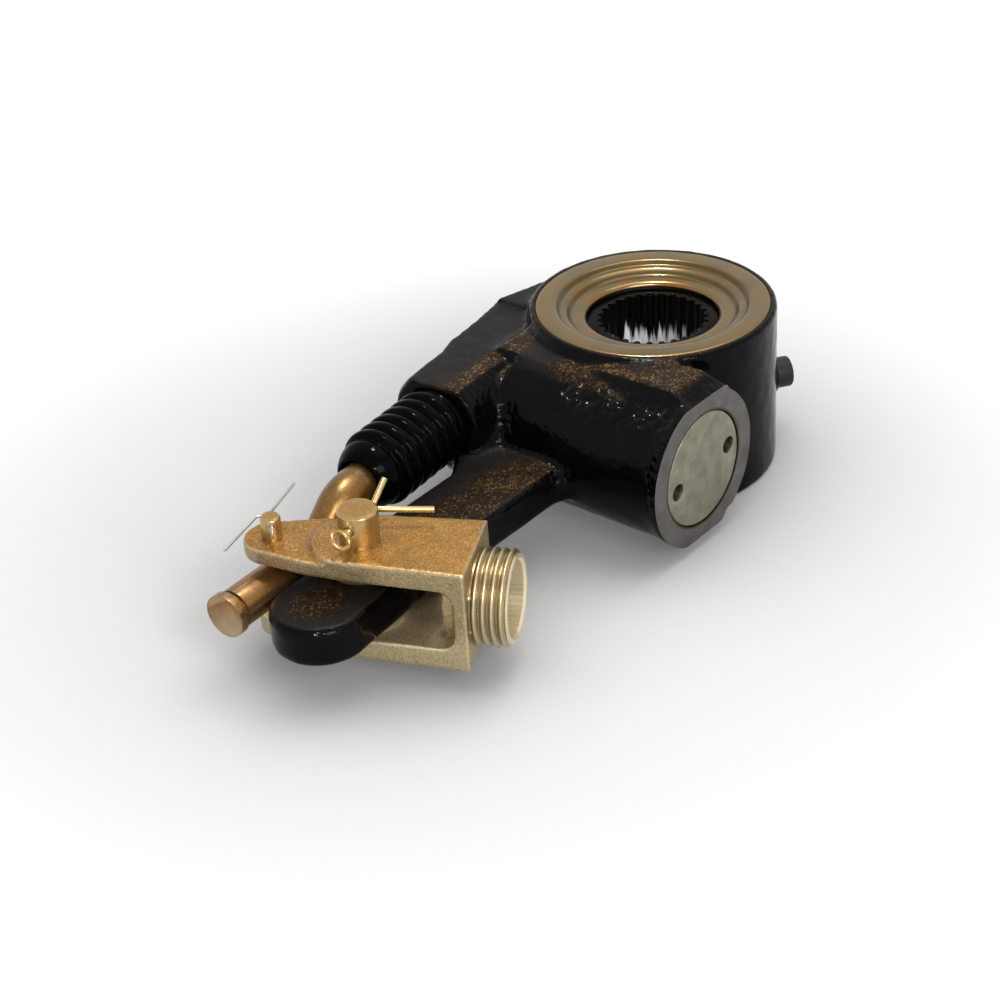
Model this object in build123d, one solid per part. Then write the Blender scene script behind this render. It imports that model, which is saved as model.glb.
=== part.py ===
from build123d import *
import os
from math import atan, cos, degrees, pi, radians, sin, sqrt, tan

# Automatic brake slack adjuster. Millimetres, +Z up along the camshaft spline axis.
# The origin is on that axis at the worm's height, +X runs along the arm to the clevis
# pin, and +Y points to the screwed cap of the worm.

# Arm and hub of the housing
ARM_LENGTH = 152.4
ARM_TOP = 1.4
ARM_BOTTOM = -12.1
ARM_HALF_WIDTH = 12.3
ARM_FAR_WIDTH = 16.5
ARM_END_REACH = 20.1
ARM_END_R = 15.5
ARM_START_X = 30
ARM_ROOT_X = 60
ARM_ROOT_HALF_WIDTH = 21
ARM_NECK_X = 72
ARM_NECK_HALF_WIDTH = 12
ARM_ROOT_FAR_Y = -30
ARM_ROOT_FAR_X = 74
ARM_SHOULDER_FAR = (86, -20)
ARM_STRAIGHT_FROM_X = 92
HUB_R = 42.8
HUB_HALF = 29.8
HUB_EDGE = 1.2
CASTING_EDGE = 1.5

# Camshaft spline and worm wheel
SPLINE_TEETH = 28
SPLINE_MAJOR_R = 19.4
SPLINE_MINOR_R = 17.9
SPLINE_FOOT_SHARE = 0.34
SPLINE_TIP_SHARE = 0.17
WHEEL_TEETH = 24
WORM_MODULE = 2.25
WHEEL_FACE = 23
WHEEL_HUB_R = 24.5
WHEEL_END_GAP = 0.2
WHEEL_END_CHAMFER = 1.8
PRESSURE_ANGLE = 20
BACKLASH = 0.3

# Worm shaft, along +Y
WORM_X = 42
WORM_HALF = 16.5
WORM_SHOULDER_R = 11.5
WORM_SHOULDER = 1.6
CAP_JOURNAL_R = 8.5
INNER_JOURNAL_R = 7
STUB_R = 4.5
INNER_JOURNAL_END = -26
STUB_END = -58

# Barrel, worm cap and the pieces stacked behind it
BARREL_R = 27.4
BARREL_LIP = 1
BARREL_LIP_WIDTH = 3
BARREL_FACE = 50
BARREL_FLAT = 25.5
BARREL_CORNER_X = 28
BARREL_NOTCH = -21.9
CAP_R = 20.1
CAP_THICK = 9.4
CAP_CHAMFER = 0.8
SPANNER_HOLE_R = 3
SPANNER_HOLE_PITCH = 29
SPANNER_HOLE_DEPTH = 5
SPANNER_ANGLE = 8
GASKET_THICK = 1
BEARING_WIDTH = 8
THRUST_WASHER_THICK = 2
CUP_SPRING_COUNT = 3
CUP_SPRING_THICK = 1.4
CUP_SPRING_INSET = 1.2
SPRING_SEAT_THICK = 2.4

# Adjusting end of the worm shaft
HEX_ACROSS_FLATS = 11.11
HEX_LENGTH = 7
HEX_PIN_R = 1.2
SEAL_THICK = 3.4
ADJUSTER_FACE = -51.5
ADJUSTER_R = 15

# Pinion, wrap spring and rack
PINION_TEETH = 12
PINION_MODULE = 1.25
PINION_PRESSURE_ANGLE = 25
PINION_FROM = -43.2
PINION_TO = -28.5
PINION_HUB_TO = -26.2
PINION_BORE_R = 4.55
PINION_COLLAR_R = 6.5
PINION_BACKLASH = 0.25
WRAP_WIRE = 1
WRAP_TURNS = 3
WRAP_FROM = -27.25
WRAP_TO = -24.2
RACK_R = 7.5
RACK_Z = 9.8
RACK_MOUTH = (80.5, -31.6)
RACK_ANGLE = 6
RACK_END = -3
RACK_LENGTH = 44.5
RACK_FLAT_END = -13.2
RACK_TOOTH_COUNT = 10
RACK_TEETH_BEHIND = 3
RACK_BORE_END = -73
RACK_TOP = 23.4
RACK_BOTTOM = -8
RACK_OUTLINE_FAR = [(20, -54), (35, -51), (52, -48.7), (60, -45.7), (68, -45), (77, -43)]
RACK_OUTLINE_NEAR = [(77, -26.5), (64, -25), (35, -22.5), (20, -22.5)]
WEB_SECTIONS = ((30, 0), (56, 0), (77, 9))
NOSE_R = 16.4
SHOULDER_TOP = 24.8
SHOULDER_BOTTOM = -3
SHOULDER = [(-20, -34), (-12, -44), (0, -48.5), (20, -53.5), (20, -30), (-20, -30)]
SPRING_WIRE = 1.3
SPRING_R = 5.6
SPRING_TURNS = 3
SPRING_END_GAP = 0.1
RACK_PLUG_THICK = 2

# Boot between the rack housing and the link
MOUTH_R = 10.5
MOUTH_DEPTH = 20
BOOT_SEAT_R = 12.8
BOOT_SEAT_DEPTH = 5
BOOT_LENGTH = 43.5
BOOT_FOLDS = 6
BOOT_FOLD_START = 4.5
BOOT_FOLD_PITCH = 5.6
BOOT_CREST_R = 13.4
BOOT_VALLEY_R = 11
BOOT_WALL = 1.3
BOOT_COLLAR_R = 8.6
BOOT_COLLAR_LENGTH = 4
BOOT_DOME_START = 2.5
BOOT_CREST_HALF = 0.8
BOOT_LIP_GAP = 0.4
BOOT_RING_WIRE = 1.2
BOOT_RING_GAP = 0.5

# Link rod
ROD_R = 6.5
ROD_NECK_R = 5
BALL_R = 3.5
BALL_NECK_R = 2.4
BALL_PLACE = -9
ROD_START = 0.5
ROD_FULL_FROM = 21
ROD_BEND_FROM = 53
ROD_DROP = -19
ROD_BEND_R = 11
ROD_HEAD_R = 7.2
ROD_HEAD_THICK = 3
ROD_GROOVE_R = 5.6
ROD_GROOVE = 1.6
ROD_REACH = 24.5

# Clevis, measured from the clevis pin along the push rod
CLEVIS_ANGLE = 116
CLEVIS_TOP = 13.8
CLEVIS_BOTTOM = -21
GAP_TOP = 6.9
GAP_BOTTOM = -13.8
PAD_TOP = 4.5
PAD_BOTTOM = -12.6
PAD_R = 12
STEP_DOWN = 1.8
STEP_R = 15
BLOCK_END = 36.2
BLOCK_HALF_WIDTH = 16
WEB_FROM = 26
WEB_EDGE = 5
COLLAR_R = 15.25
COLLAR_ROOT_R = 14.1
COLLAR_END = 48.1
COLLAR_BORE_R = 11.85
THREAD_PITCH = 2.4
LINK_PIN_PLACE = -28.2
EAR_END_R = 9
LOWER_EAR_END_R = 7
GAP_MIDDLE = -3.6

# Pins and cotters
CLEVIS_PIN_R = 6.35
CLEVIS_PIN_TOP = 24.7
CLEVIS_PIN_HEAD_R = 9
CLEVIS_PIN_HEAD = 4
LINK_PIN_R = 3.175
LINK_PIN_TOP = 19.6
LINK_PIN_HEAD_R = 5
LINK_PIN_HEAD = 2.4
CLEVIS_COTTER_Z = 19.6
CLEVIS_COTTER_R = 1.55
CLEVIS_COTTER_EYE_R = 3
CLEVIS_COTTER_ANGLE = 13
LINK_COTTER_Z = 17
LINK_COTTER_R = 0.7
LINK_COTTER_EYE_R = 1.9
LINK_COTTER_ANGLE = 50
CLEVIS_COTTER_LEGS = [[(-15, 1.7, 7.4)], [(-14.8, 18.3, 0)]]
LINK_COTTER_LEGS = [[(-5.4, 9, 9.5)], [(-4.4, -3.9, 0), (12.2, -15.1, 0)]]
COTTER_HOLE_GAP = 0.15
PIN_CHAMFER = 0.8
BUSH_WALL = 1.5

# Cover plates, bushes and seals of the hub
COVER_R = 40.7
COVER_THICK = 1.6
COVER_STEP_R = 33.3
COVER_DISH_R = 29.3
COVER_HOLE_R = 22.9
COVER_DISH = 4.6
WHEEL_BUSH_INNER = 12.6
DISH_BORE_DEPTH = 7.9
SEAL_R = 1.45

# Grease plug on the far side of the hub
GREASE_ANGLE = 145
GREASE_Z = -7.6
GREASE_BOSS_R = 7
GREASE_BOSS_REACH = 45
GREASE_PLUG_R = 5.5
GREASE_PLUG_REACH = 51

# Clearances
FIT = 0.05
RUN = 0.05
GAP = 0.3
WORM_TIP_GAP = 0.45
PIN_GAP = 0.1

# Values that follow from the ones above
WHEEL_PITCH_R = WORM_MODULE * WHEEL_TEETH / 2
WORM_PITCH_R = WORM_X - WHEEL_PITCH_R
WORM_TIP_R = WORM_PITCH_R + WORM_MODULE
WORM_ROOT_R = WORM_PITCH_R - 1.25 * WORM_MODULE
WORM_PITCH = pi * WORM_MODULE
WHEEL_TIP_R = WHEEL_PITCH_R + WORM_MODULE
WHEEL_ROOT_R = WHEEL_PITCH_R - 1.25 * WORM_MODULE
WHEEL_BORE_R = WHEEL_TIP_R + GAP
WORM_BORE_R = WORM_TIP_R + WORM_TIP_GAP
DISH_BORE_R = COVER_STEP_R + 1.5
DISH_BORE_FROM = HUB_HALF - DISH_BORE_DEPTH
COVER_UNDERSIDE = HUB_HALF - COVER_DISH - COVER_THICK
WHEEL_HUB_HALF = COVER_UNDERSIDE - WHEEL_END_GAP
WHEEL_BUSH_OUTER = COVER_UNDERSIDE - 2 * SEAL_R - GAP
CAP_BORE_R = CAP_R + FIT
CAP_SEAT = BARREL_FACE - CAP_THICK - GASKET_THICK
CAP_JOURNAL_END = CAP_SEAT + GASKET_THICK - SPRING_SEAT_THICK
INNER_BUSH_R = 13
INNER_BUSH_FROM = -WORM_HALF - WORM_SHOULDER - GAP
INNER_BUSH_TO = INNER_BUSH_FROM - 5
WORM_BORE_END = INNER_BUSH_FROM + 0.2
PINION_PITCH_R = PINION_MODULE * PINION_TEETH / 2
PINION_TIP_R = PINION_PITCH_R + PINION_MODULE
PINION_CAVITY_R = 10
PINION_HUB_R = INNER_JOURNAL_R
RACK_BORE_R = RACK_R + RUN
RACK_FLAT = PINION_PITCH_R - PINION_MODULE
RACK_TOOTH_TOP = PINION_PITCH_R + 1.25 * PINION_MODULE
COVER_FACE = HUB_HALF - COVER_THICK
LINK_PIN_X = ARM_LENGTH + LINK_PIN_PLACE * cos(radians(CLEVIS_ANGLE))
LINK_PIN_Y = LINK_PIN_PLACE * sin(radians(CLEVIS_ANGLE))
ROD_LOW_Z = GAP_MIDDLE
ROD_LOW_ANGLE = 3

# Frames: in each one the piece's own axis is the local Z
WORM = Pos(WORM_X, 0, 0) * Rot(-90, 0, 0)
RACK = Pos(*RACK_MOUTH, RACK_Z) * Rot(0, 0, RACK_ANGLE) * Rot(0, 90, 0)
CLEVIS = Pos(ARM_LENGTH, 0, 0) * Rot(0, 0, CLEVIS_ANGLE)
THREAD = CLEVIS * Pos(0, 0, GAP_MIDDLE) * Rot(0, 90, 0)
GREASE = Pos(0, 0, GREASE_Z) * Rot(0, 0, GREASE_ANGLE) * Rot(0, 90, 0)
LINK_END = Pos(LINK_PIN_X, LINK_PIN_Y, ROD_LOW_Z) * Rot(0, 0, ROD_LOW_ANGLE) * Rot(0, 90, 0)
SPINE = Location()


def bar(frame, radius, start, end):
    """Round bar of a frame's axis, from start to end along it."""
    low, high = min(start, end), max(start, end)
    return frame * Pos(0, 0, (low + high) / 2) * Cylinder(radius, high - low)


def ring(frame, outer, inner, start, end):
    return bar(frame, outer, start, end) - bar(frame, inner, start, end)


def block(x, y, z):
    """Box between the two ends given for each axis."""
    middle = Pos((x[0] + x[1]) / 2, (y[0] + y[1]) / 2, (z[0] + z[1]) / 2)
    return middle * Box(x[1] - x[0], y[1] - y[0], z[1] - z[0])


def slab(points, low, high):
    """Flat plate with the given outline between two heights."""
    return Pos(0, 0, low) * extrude(make_face(Polyline(*points, close=True)), high - low)


def turned(frame, profile):
    """Solid of revolution from (radius, place along the axis) points."""
    outline = Polyline(*[(r, 0, s) for r, s in profile], close=True)
    return frame * revolve(make_face(outline), Axis.Z)


def involute_flank(base_r, start_r, end_r, steps):
    """Points of an involute, as (radius, angle) from where it leaves its base circle."""
    points = []
    for i in range(steps + 1):
        r = max(base_r, start_r + (end_r - start_r) * i / steps)
        roll = sqrt((r / base_r) ** 2 - 1)
        points.append((r, roll - atan(roll)))
    return points


def gear_face(teeth, module, pressure, root_r, tip_r, backlash):
    """Spur gear outline with one tooth centred on the local X axis."""
    pitch_r = module * teeth / 2
    base_r = pitch_r * cos(radians(pressure))
    half_tooth = pi / (2 * teeth) - backlash / (2 * pitch_r)
    at_pitch = tan(radians(pressure)) - radians(pressure)
    flank = involute_flank(base_r, max(root_r, base_r), tip_r, 5)
    edges = []
    step = 2 * pi / teeth
    for k in range(teeth):
        middle = k * step
        rising = [(r, middle - half_tooth - at_pitch + a) for r, a in flank]
        falling = [(r, middle + half_tooth + at_pitch - a) for r, a in reversed(flank)]
        if root_r < base_r:
            rising.insert(0, (root_r, rising[0][1]))
            falling.append((root_r, falling[-1][1]))
        edges.extend(rising + falling)
    return make_face(Polyline(*[(r * cos(a), r * sin(a)) for r, a in edges], close=True))


def twisted(face, low, high, turn):
    """Face extruded from low to high while it turns, with no turn at height zero."""
    start = Pos(0, 0, low) * Rot(0, 0, degrees(turn * low)) * face
    height = high - low
    return Solid.extrude_linear_with_rotation(
        start.faces()[0], (0, 0, low), (0, 0, height), degrees(turn * height)
    )


def housing():
    body = hub_casting() + barrel_casting() + rack_casting() + arm_casting()
    body += bar(GREASE, GREASE_BOSS_R, HUB_R - 5, GREASE_BOSS_REACH)
    body -= hub_bores() + worm_bores() + rack_bores()
    body -= bar(Pos(ARM_LENGTH, 0, 0), CLEVIS_PIN_R + PIN_GAP + BUSH_WALL, ARM_BOTTOM, ARM_TOP)
    body -= bar(GREASE, GREASE_PLUG_R, WHEEL_BORE_R - 2, GREASE_BOSS_REACH + 1)
    return body


def hub_casting():
    hub = bar(SPINE, HUB_R, -HUB_HALF, HUB_HALF)
    return fillet(hub.edges().filter_by(GeomType.CIRCLE), HUB_EDGE)


def barrel_casting():
    """Worm barrel with its two flats, its corner to the hub and the machined face."""
    barrel = bar(WORM, BARREL_R - BARREL_LIP, -20, BARREL_FACE)
    barrel += bar(WORM, BARREL_R, BARREL_FACE - BARREL_LIP_WIDTH, BARREL_FACE)
    corner = block((BARREL_CORNER_X, WORM_X), (20, BARREL_FACE), (0, BARREL_R))
    bridge = block((10, WORM_X + 8), (-30, 30), (-BARREL_R, BARREL_R))
    flats = block((0, 90), (-60, 60), (-BARREL_FLAT, BARREL_FLAT))
    notch = block((0, BARREL_CORNER_X + 2), (30, 60), (-BARREL_R, BARREL_NOTCH))
    return ((barrel + corner + bridge) & flats) - notch


def rack_casting():
    """Rack housing beside the barrel with its sloping web, and the adjuster end."""
    body = slab(RACK_OUTLINE_FAR + RACK_OUTLINE_NEAR, RACK_BOTTOM, RACK_TOP)
    far_half = block((40, 100), (RACK_MOUTH[1] - 30, RACK_MOUTH[1]), (RACK_Z, 40))
    nose = bar(RACK, NOSE_R, -30, 0) + (bar(RACK, NOSE_R + 1, -30, -2) & far_half)
    nose &= block((40, 100), (-80, 0), (-30, RACK_TOP))
    shoulder = slab(SHOULDER, SHOULDER_BOTTOM, SHOULDER_TOP)
    return body + nose + shoulder + rack_web() + bar(WORM, ADJUSTER_R, -20, ADJUSTER_FACE)


def rack_web():
    """Wall that slopes from the rack housing to the barrel, narrowing to the mouth."""
    sections = []
    for x, reach in WEB_SECTIONS:
        near = [(-24, RACK_TOP - reach / 3), (-14 - reach / 3, 12), (-8 - reach, 2), (-8 - reach, -10)]
        points = [(x, -32, RACK_TOP - reach / 3)] + [(x, y, z) for y, z in near] + [(x, -32, -10)]
        sections.append(make_face(Polyline(*points, close=True)))
    return loft(Sketch() + sections, ruled=True)


def arm_casting():
    """Arm with its root, its neck and its rounded end."""
    end_x = ARM_LENGTH + ARM_END_REACH
    near = [(ARM_LENGTH - 10, ARM_HALF_WIDTH), (ARM_NECK_X, ARM_NECK_HALF_WIDTH)]
    near += [(ARM_ROOT_X + 4, ARM_ROOT_HALF_WIDTH - 5), (ARM_ROOT_X, ARM_ROOT_HALF_WIDTH)]
    far = [(ARM_START_X, ARM_ROOT_FAR_Y), (ARM_ROOT_FAR_X, ARM_ROOT_FAR_Y), ARM_SHOULDER_FAR]
    far += [(ARM_STRAIGHT_FROM_X, -ARM_FAR_WIDTH), (end_x, -ARM_END_R)]
    outline = far + [(end_x, ARM_END_R)] + near + [(ARM_START_X, ARM_ROOT_HALF_WIDTH)]
    arm = slab(outline, ARM_BOTTOM, ARM_TOP)
    arm += bar(Pos(end_x, 0, 0), ARM_END_R, ARM_BOTTOM, ARM_TOP)
    outer = [e for e in arm.edges() if e.center().X > ARM_NECK_X - 5]
    flat = [e for e in outer if abs(e.center().Z - ARM_TOP) < 0.01 or abs(e.center().Z - ARM_BOTTOM) < 0.01]
    return chamfer(flat, CASTING_EDGE)


def hub_bores():
    bores = bar(SPINE, WHEEL_BORE_R, -HUB_HALF, HUB_HALF)
    for side in (-1, 1):
        bores += bar(SPINE, DISH_BORE_R, side * DISH_BORE_FROM, side * HUB_HALF)
        bores += bar(SPINE, COVER_R + FIT, side * COVER_FACE, side * (HUB_HALF + 1))
    return bores


def worm_bores():
    bores = bar(WORM, WORM_BORE_R, WORM_BORE_END, CAP_SEAT)
    bores += bar(WORM, CAP_BORE_R, CAP_SEAT, BARREL_FACE + 1)
    bores += bar(WORM, INNER_BUSH_R + FIT, INNER_BUSH_TO, WORM_BORE_END)
    bores += bar(WORM, PINION_CAVITY_R, ADJUSTER_FACE - 1, INNER_BUSH_TO)
    return bores


def rack_bores():
    bores = bar(RACK, RACK_BORE_R, RACK_BORE_END, 0)
    bores += bar(RACK, MOUTH_R, -MOUTH_DEPTH, 1)
    bores += bar(RACK, BOOT_SEAT_R, -BOOT_SEAT_DEPTH, 1)
    return bores


def cover_plate(side):
    """Pressed ring whose rim lies in the hub's recess and whose middle is dished."""
    top = HUB_HALF
    steps = [(COVER_HOLE_R, top - COVER_DISH), (COVER_DISH_R, top - COVER_DISH)]
    steps += [(COVER_DISH_R + 1.2, top - COVER_DISH / 2), (COVER_STEP_R - 1, top - COVER_DISH / 2)]
    steps += [(COVER_STEP_R, top), (COVER_R, top)]
    under = [(r, z - COVER_THICK) for r, z in reversed(steps)]
    plate = turned(SPINE, steps + under)
    return plate if side > 0 else Rot(180, 0, 0) * plate


def worm_wheel():
    lead = WORM_MODULE / (2 * WORM_PITCH_R)
    face = gear_face(WHEEL_TEETH, WORM_MODULE, PRESSURE_ANGLE, WHEEL_ROOT_R, WHEEL_TIP_R, BACKLASH)
    wheel = twisted(face, -WHEEL_FACE / 2, WHEEL_FACE / 2, lead / WHEEL_PITCH_R)
    hub = bar(SPINE, WHEEL_HUB_R, -WHEEL_HUB_HALF, WHEEL_HUB_HALF)
    wheel = wheel + chamfer(hub.edges().filter_by(GeomType.CIRCLE), WHEEL_END_CHAMFER)
    return wheel - spline_hole()


def spline_hole():
    """Toothed hole that fits a camshaft with 28 straight splines."""
    step = 2 * pi / SPLINE_TEETH
    points = []
    for k in range(SPLINE_TEETH):
        a = k * step
        for r, share in ((SPLINE_MINOR_R, -SPLINE_FOOT_SHARE), (SPLINE_MAJOR_R, -SPLINE_TIP_SHARE),
                         (SPLINE_MAJOR_R, SPLINE_TIP_SHARE), (SPLINE_MINOR_R, SPLINE_FOOT_SHARE)):
            points.append((r, a + share * step))
    outline = Polyline(*[(r * cos(a), r * sin(a)) for r, a in points], close=True)
    depth = 2 * WHEEL_HUB_HALF + 2
    return Pos(0, 0, -depth / 2) * extrude(make_face(outline), depth)


def wheel_bush(side):
    return ring(SPINE, WHEEL_BORE_R, WHEEL_HUB_R + RUN, side * WHEEL_BUSH_INNER, side * WHEEL_BUSH_OUTER)


def wheel_seal(side):
    place = side * (COVER_UNDERSIDE - SEAL_R)
    return Pos(0, 0, place) * Torus(WHEEL_HUB_R + GAP + SEAL_R, SEAL_R)


def worm_section():
    """Cross section of the single start worm: crest, two spiral flanks and root."""
    half_pitch = WORM_PITCH / 4 - BACKLASH / 2
    slope = tan(radians(PRESSURE_ANGLE))
    crest = half_pitch - WORM_MODULE * slope
    foot = half_pitch + 1.25 * WORM_MODULE * slope
    turn = 2 * pi / WORM_PITCH
    flank = 12
    points = []
    for i in range(flank + 1):
        along = foot + (crest - foot) * i / flank
        points.append((WORM_ROOT_R + (WORM_TIP_R - WORM_ROOT_R) * i / flank, -along * turn))
    falling = [(r, -a) for r, a in reversed(points)]
    xy = [(r * cos(a), r * sin(a)) for r, a in points]
    yx = [(r * cos(a), r * sin(a)) for r, a in falling]
    rise = Spline(*xy)
    tip = ThreePointArc(xy[-1], (WORM_TIP_R, 0), yx[0])
    fall = Spline(*yx)
    root = ThreePointArc(yx[-1], (-WORM_ROOT_R, 0), xy[0])
    return make_face([rise, tip, fall, root])


def worm_shaft():
    """Worm with its shoulders and journals, and the stub that carries the hexagon."""
    thread = twisted(worm_section(), -WORM_HALF, WORM_HALF, 2 * pi / WORM_PITCH)
    shaft = WORM * thread
    shaft = shaft + bar(WORM, WORM_SHOULDER_R, -WORM_HALF - WORM_SHOULDER, WORM_HALF + WORM_SHOULDER)
    shaft += bar(WORM, CAP_JOURNAL_R, 0, CAP_JOURNAL_END)
    shaft += bar(WORM, INNER_JOURNAL_R, INNER_JOURNAL_END, 0)
    shaft += bar(WORM, STUB_R, STUB_END, 0)
    return shaft - hex_pin_bar(HEX_PIN_R)


def hex_pin_bar(radius):
    """Cross bar through the hexagon and the stub."""
    reach = HEX_ACROSS_FLATS / 2
    middle = ADJUSTER_FACE - GAP - HEX_LENGTH / 2
    return bar(Pos(WORM_X, middle, 0), radius, -reach, reach)


def adjusting_hex():
    outline = RegularPolygon(HEX_ACROSS_FLATS / 2, 6, major_radius=False)
    head = WORM * Pos(0, 0, ADJUSTER_FACE - GAP - HEX_LENGTH) * extrude(outline, HEX_LENGTH)
    return head - bar(WORM, STUB_R, STUB_END - 5, 0) - hex_pin_bar(HEX_PIN_R)


def worm_bush(place):
    if place == "inner":
        return ring(WORM, INNER_BUSH_R, INNER_JOURNAL_R + RUN, INNER_BUSH_TO, INNER_BUSH_FROM)
    start = WORM_HALF + WORM_SHOULDER + GAP
    return ring(WORM, WORM_BORE_R - FIT, CAP_JOURNAL_R + RUN, start, start + BEARING_WIDTH)


def stack_start():
    """Place along the worm where the thrust washer begins."""
    return WORM_HALF + WORM_SHOULDER + GAP + BEARING_WIDTH


def thrust_washer():
    start = stack_start()
    return ring(WORM, WORM_BORE_R - GAP, CAP_JOURNAL_R + GAP, start, start + THRUST_WASHER_THICK)


def cup_spring_height():
    """Room for each cup spring between the thrust washer and the spring seat."""
    room = CAP_SEAT + GASKET_THICK - SPRING_SEAT_THICK - stack_start() - THRUST_WASHER_THICK
    return room / CUP_SPRING_COUNT


def cup_springs():
    """Coned spring washers stacked rim to rim and hole to hole."""
    inner = CAP_JOURNAL_R + GAP
    outer = WORM_BORE_R - CUP_SPRING_INSET
    start = stack_start() + THRUST_WASHER_THICK
    height = cup_spring_height()
    springs = []
    for k in range(CUP_SPRING_COUNT):
        low = start + k * height
        at_rim, at_hole = (low, low + height - CUP_SPRING_THICK)
        if k % 2:
            at_rim, at_hole = at_hole, at_rim
        profile = [(outer, at_rim), (outer, at_rim + CUP_SPRING_THICK)]
        profile += [(inner, at_hole + CUP_SPRING_THICK), (inner, at_hole)]
        springs.append(turned(WORM, profile))
    return Compound(children=[s.solids()[0] for s in springs])


def spring_seat():
    end = CAP_SEAT + GASKET_THICK
    return ring(WORM, WORM_BORE_R - FIT, CAP_JOURNAL_R + GAP, end - SPRING_SEAT_THICK, end)


def cap_gasket():
    return ring(WORM, CAP_R, WORM_BORE_R, CAP_SEAT, CAP_SEAT + GASKET_THICK)


def worm_cap():
    cap = bar(WORM, CAP_R, CAP_SEAT + GASKET_THICK, BARREL_FACE)
    cap = chamfer(cap.edges().filter_by(GeomType.CIRCLE).sort_by(Axis.Y)[-1], CAP_CHAMFER)
    for side in (-1, 1):
        angle = radians(SPANNER_ANGLE)
        across = side * SPANNER_HOLE_PITCH / 2
        frame = WORM * Pos(across * cos(angle), across * sin(angle), 0)
        cap -= bar(frame, SPANNER_HOLE_R, BARREL_FACE - SPANNER_HOLE_DEPTH, BARREL_FACE + 1)
    return cap - bar(WORM, CAP_JOURNAL_R + GAP, 0, CAP_JOURNAL_END + 3)


def shaft_seal():
    return ring(WORM, PINION_CAVITY_R, STUB_R + RUN, ADJUSTER_FACE, ADJUSTER_FACE + SEAL_THICK)


def pinion():
    root = PINION_PITCH_R - 1.25 * PINION_MODULE
    face = gear_face(PINION_TEETH, PINION_MODULE, PINION_PRESSURE_ANGLE, root, PINION_TIP_R, PINION_BACKLASH)
    gear = WORM * Pos(0, 0, PINION_FROM) * Rot(0, 0, 90) * extrude(face, PINION_TO - PINION_FROM)
    gear += bar(WORM, PINION_HUB_R, PINION_TO, PINION_HUB_TO)
    end = ADJUSTER_FACE + SEAL_THICK + GAP
    gear += bar(WORM, PINION_COLLAR_R, end, PINION_FROM)
    return gear - bar(WORM, PINION_BORE_R, end - 1, PINION_HUB_TO + 1)


def wrap_spring():
    """Close wound spring that grips the pinion hub and the shaft journal."""
    radius = PINION_HUB_R + GAP + WRAP_WIRE / 2
    height = WRAP_TO - WRAP_FROM
    helix = Edge.make_helix(height / WRAP_TURNS, height, radius)
    wire_face = Plane(helix @ 0, z_dir=helix % 0) * Circle(WRAP_WIRE / 2)
    return WORM * Pos(0, 0, WRAP_FROM) * sweep(wire_face, path=helix, is_frenet=True)


def rack():
    """Round bar with teeth on its underside and a side slot for the link's ball."""
    tail = RACK_END - RACK_LENGTH
    body = bar(RACK, RACK_R, tail, RACK_END)
    body -= rack_tooth_cut(tail)
    slot = bar(RACK * Pos(0, 0, BALL_PLACE) * Rot(-90, 0, 0), BALL_R + GAP, -2 * RACK_R, 0)
    slot += RACK * Pos(0, 0, BALL_PLACE) * Sphere(BALL_R + GAP)
    neck_r = BALL_NECK_R + GAP
    neck = bar(RACK, neck_r, BALL_PLACE, RACK_END + 1)
    side_length = RACK_END + 1 - BALL_PLACE
    side = Pos(0, -RACK_R, BALL_PLACE + side_length / 2) * Box(2 * neck_r, 2 * RACK_R, side_length)
    return body - slot - neck - RACK * side


def rack_tooth_cut(tail):
    """Everything under the rack's flat, with the spaces between its teeth."""
    pitch = pi * PINION_MODULE
    slope = tan(radians(PINION_PRESSURE_ANGLE))
    half_space = pitch / 4 + PINION_BACKLASH / 2
    along = cos(radians(RACK_ANGLE))
    first = WORM_X
    x_low = RACK_MOUTH[0] + tail * along - 5
    x_high = RACK_MOUTH[0] + RACK_FLAT_END * along
    cut = block((x_low, x_high), (-80, 0), (-10, RACK_FLAT))
    for k in range(-RACK_TEETH_BEHIND, RACK_TOOTH_COUNT - RACK_TEETH_BEHIND):
        x = first + k * pitch
        at_flat = half_space + PINION_MODULE * slope
        at_root = half_space - 1.25 * PINION_MODULE * slope
        space = [(x - at_flat, RACK_FLAT), (x + at_flat, RACK_FLAT)]
        space += [(x + at_root, RACK_TOOTH_TOP), (x - at_root, RACK_TOOTH_TOP)]
        outline = make_face(Polyline(*[(p, 0, q) for p, q in space], close=True))
        cut += extrude(outline, 80, dir=(0, -1, 0))
    return cut


def rack_spring():
    start = RACK_BORE_END + RACK_PLUG_THICK + SPRING_WIRE / 2 + SPRING_END_GAP
    end = RACK_END - RACK_LENGTH - SPRING_WIRE / 2 - SPRING_END_GAP
    pitch = (end - start) / SPRING_TURNS
    helix = Edge.make_helix(pitch, end - start, SPRING_R)
    wire_face = Plane(helix @ 0, z_dir=helix % 0) * Circle(SPRING_WIRE / 2)
    return RACK * Pos(0, 0, start) * sweep(wire_face, path=helix, is_frenet=True)


def rack_plug():
    return bar(RACK, RACK_BORE_R, RACK_BORE_END, RACK_BORE_END + RACK_PLUG_THICK)


def boot_profile(offset):
    """Points of the bellows from its lip to its collar, moved inwards by offset."""
    points = [(BOOT_SEAT_R - BOOT_LIP_GAP - offset, -BOOT_SEAT_DEPTH + 0.5)]
    points.append((BOOT_SEAT_R - BOOT_LIP_GAP - offset, 1))
    for k in range(BOOT_FOLDS):
        place = BOOT_FOLD_START + k * BOOT_FOLD_PITCH
        points.append((BOOT_VALLEY_R - offset, place - BOOT_FOLD_PITCH / 2))
        points.append((BOOT_CREST_R - offset, place - BOOT_CREST_HALF))
        points.append((BOOT_CREST_R - offset, place + BOOT_CREST_HALF))
    return points


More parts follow.
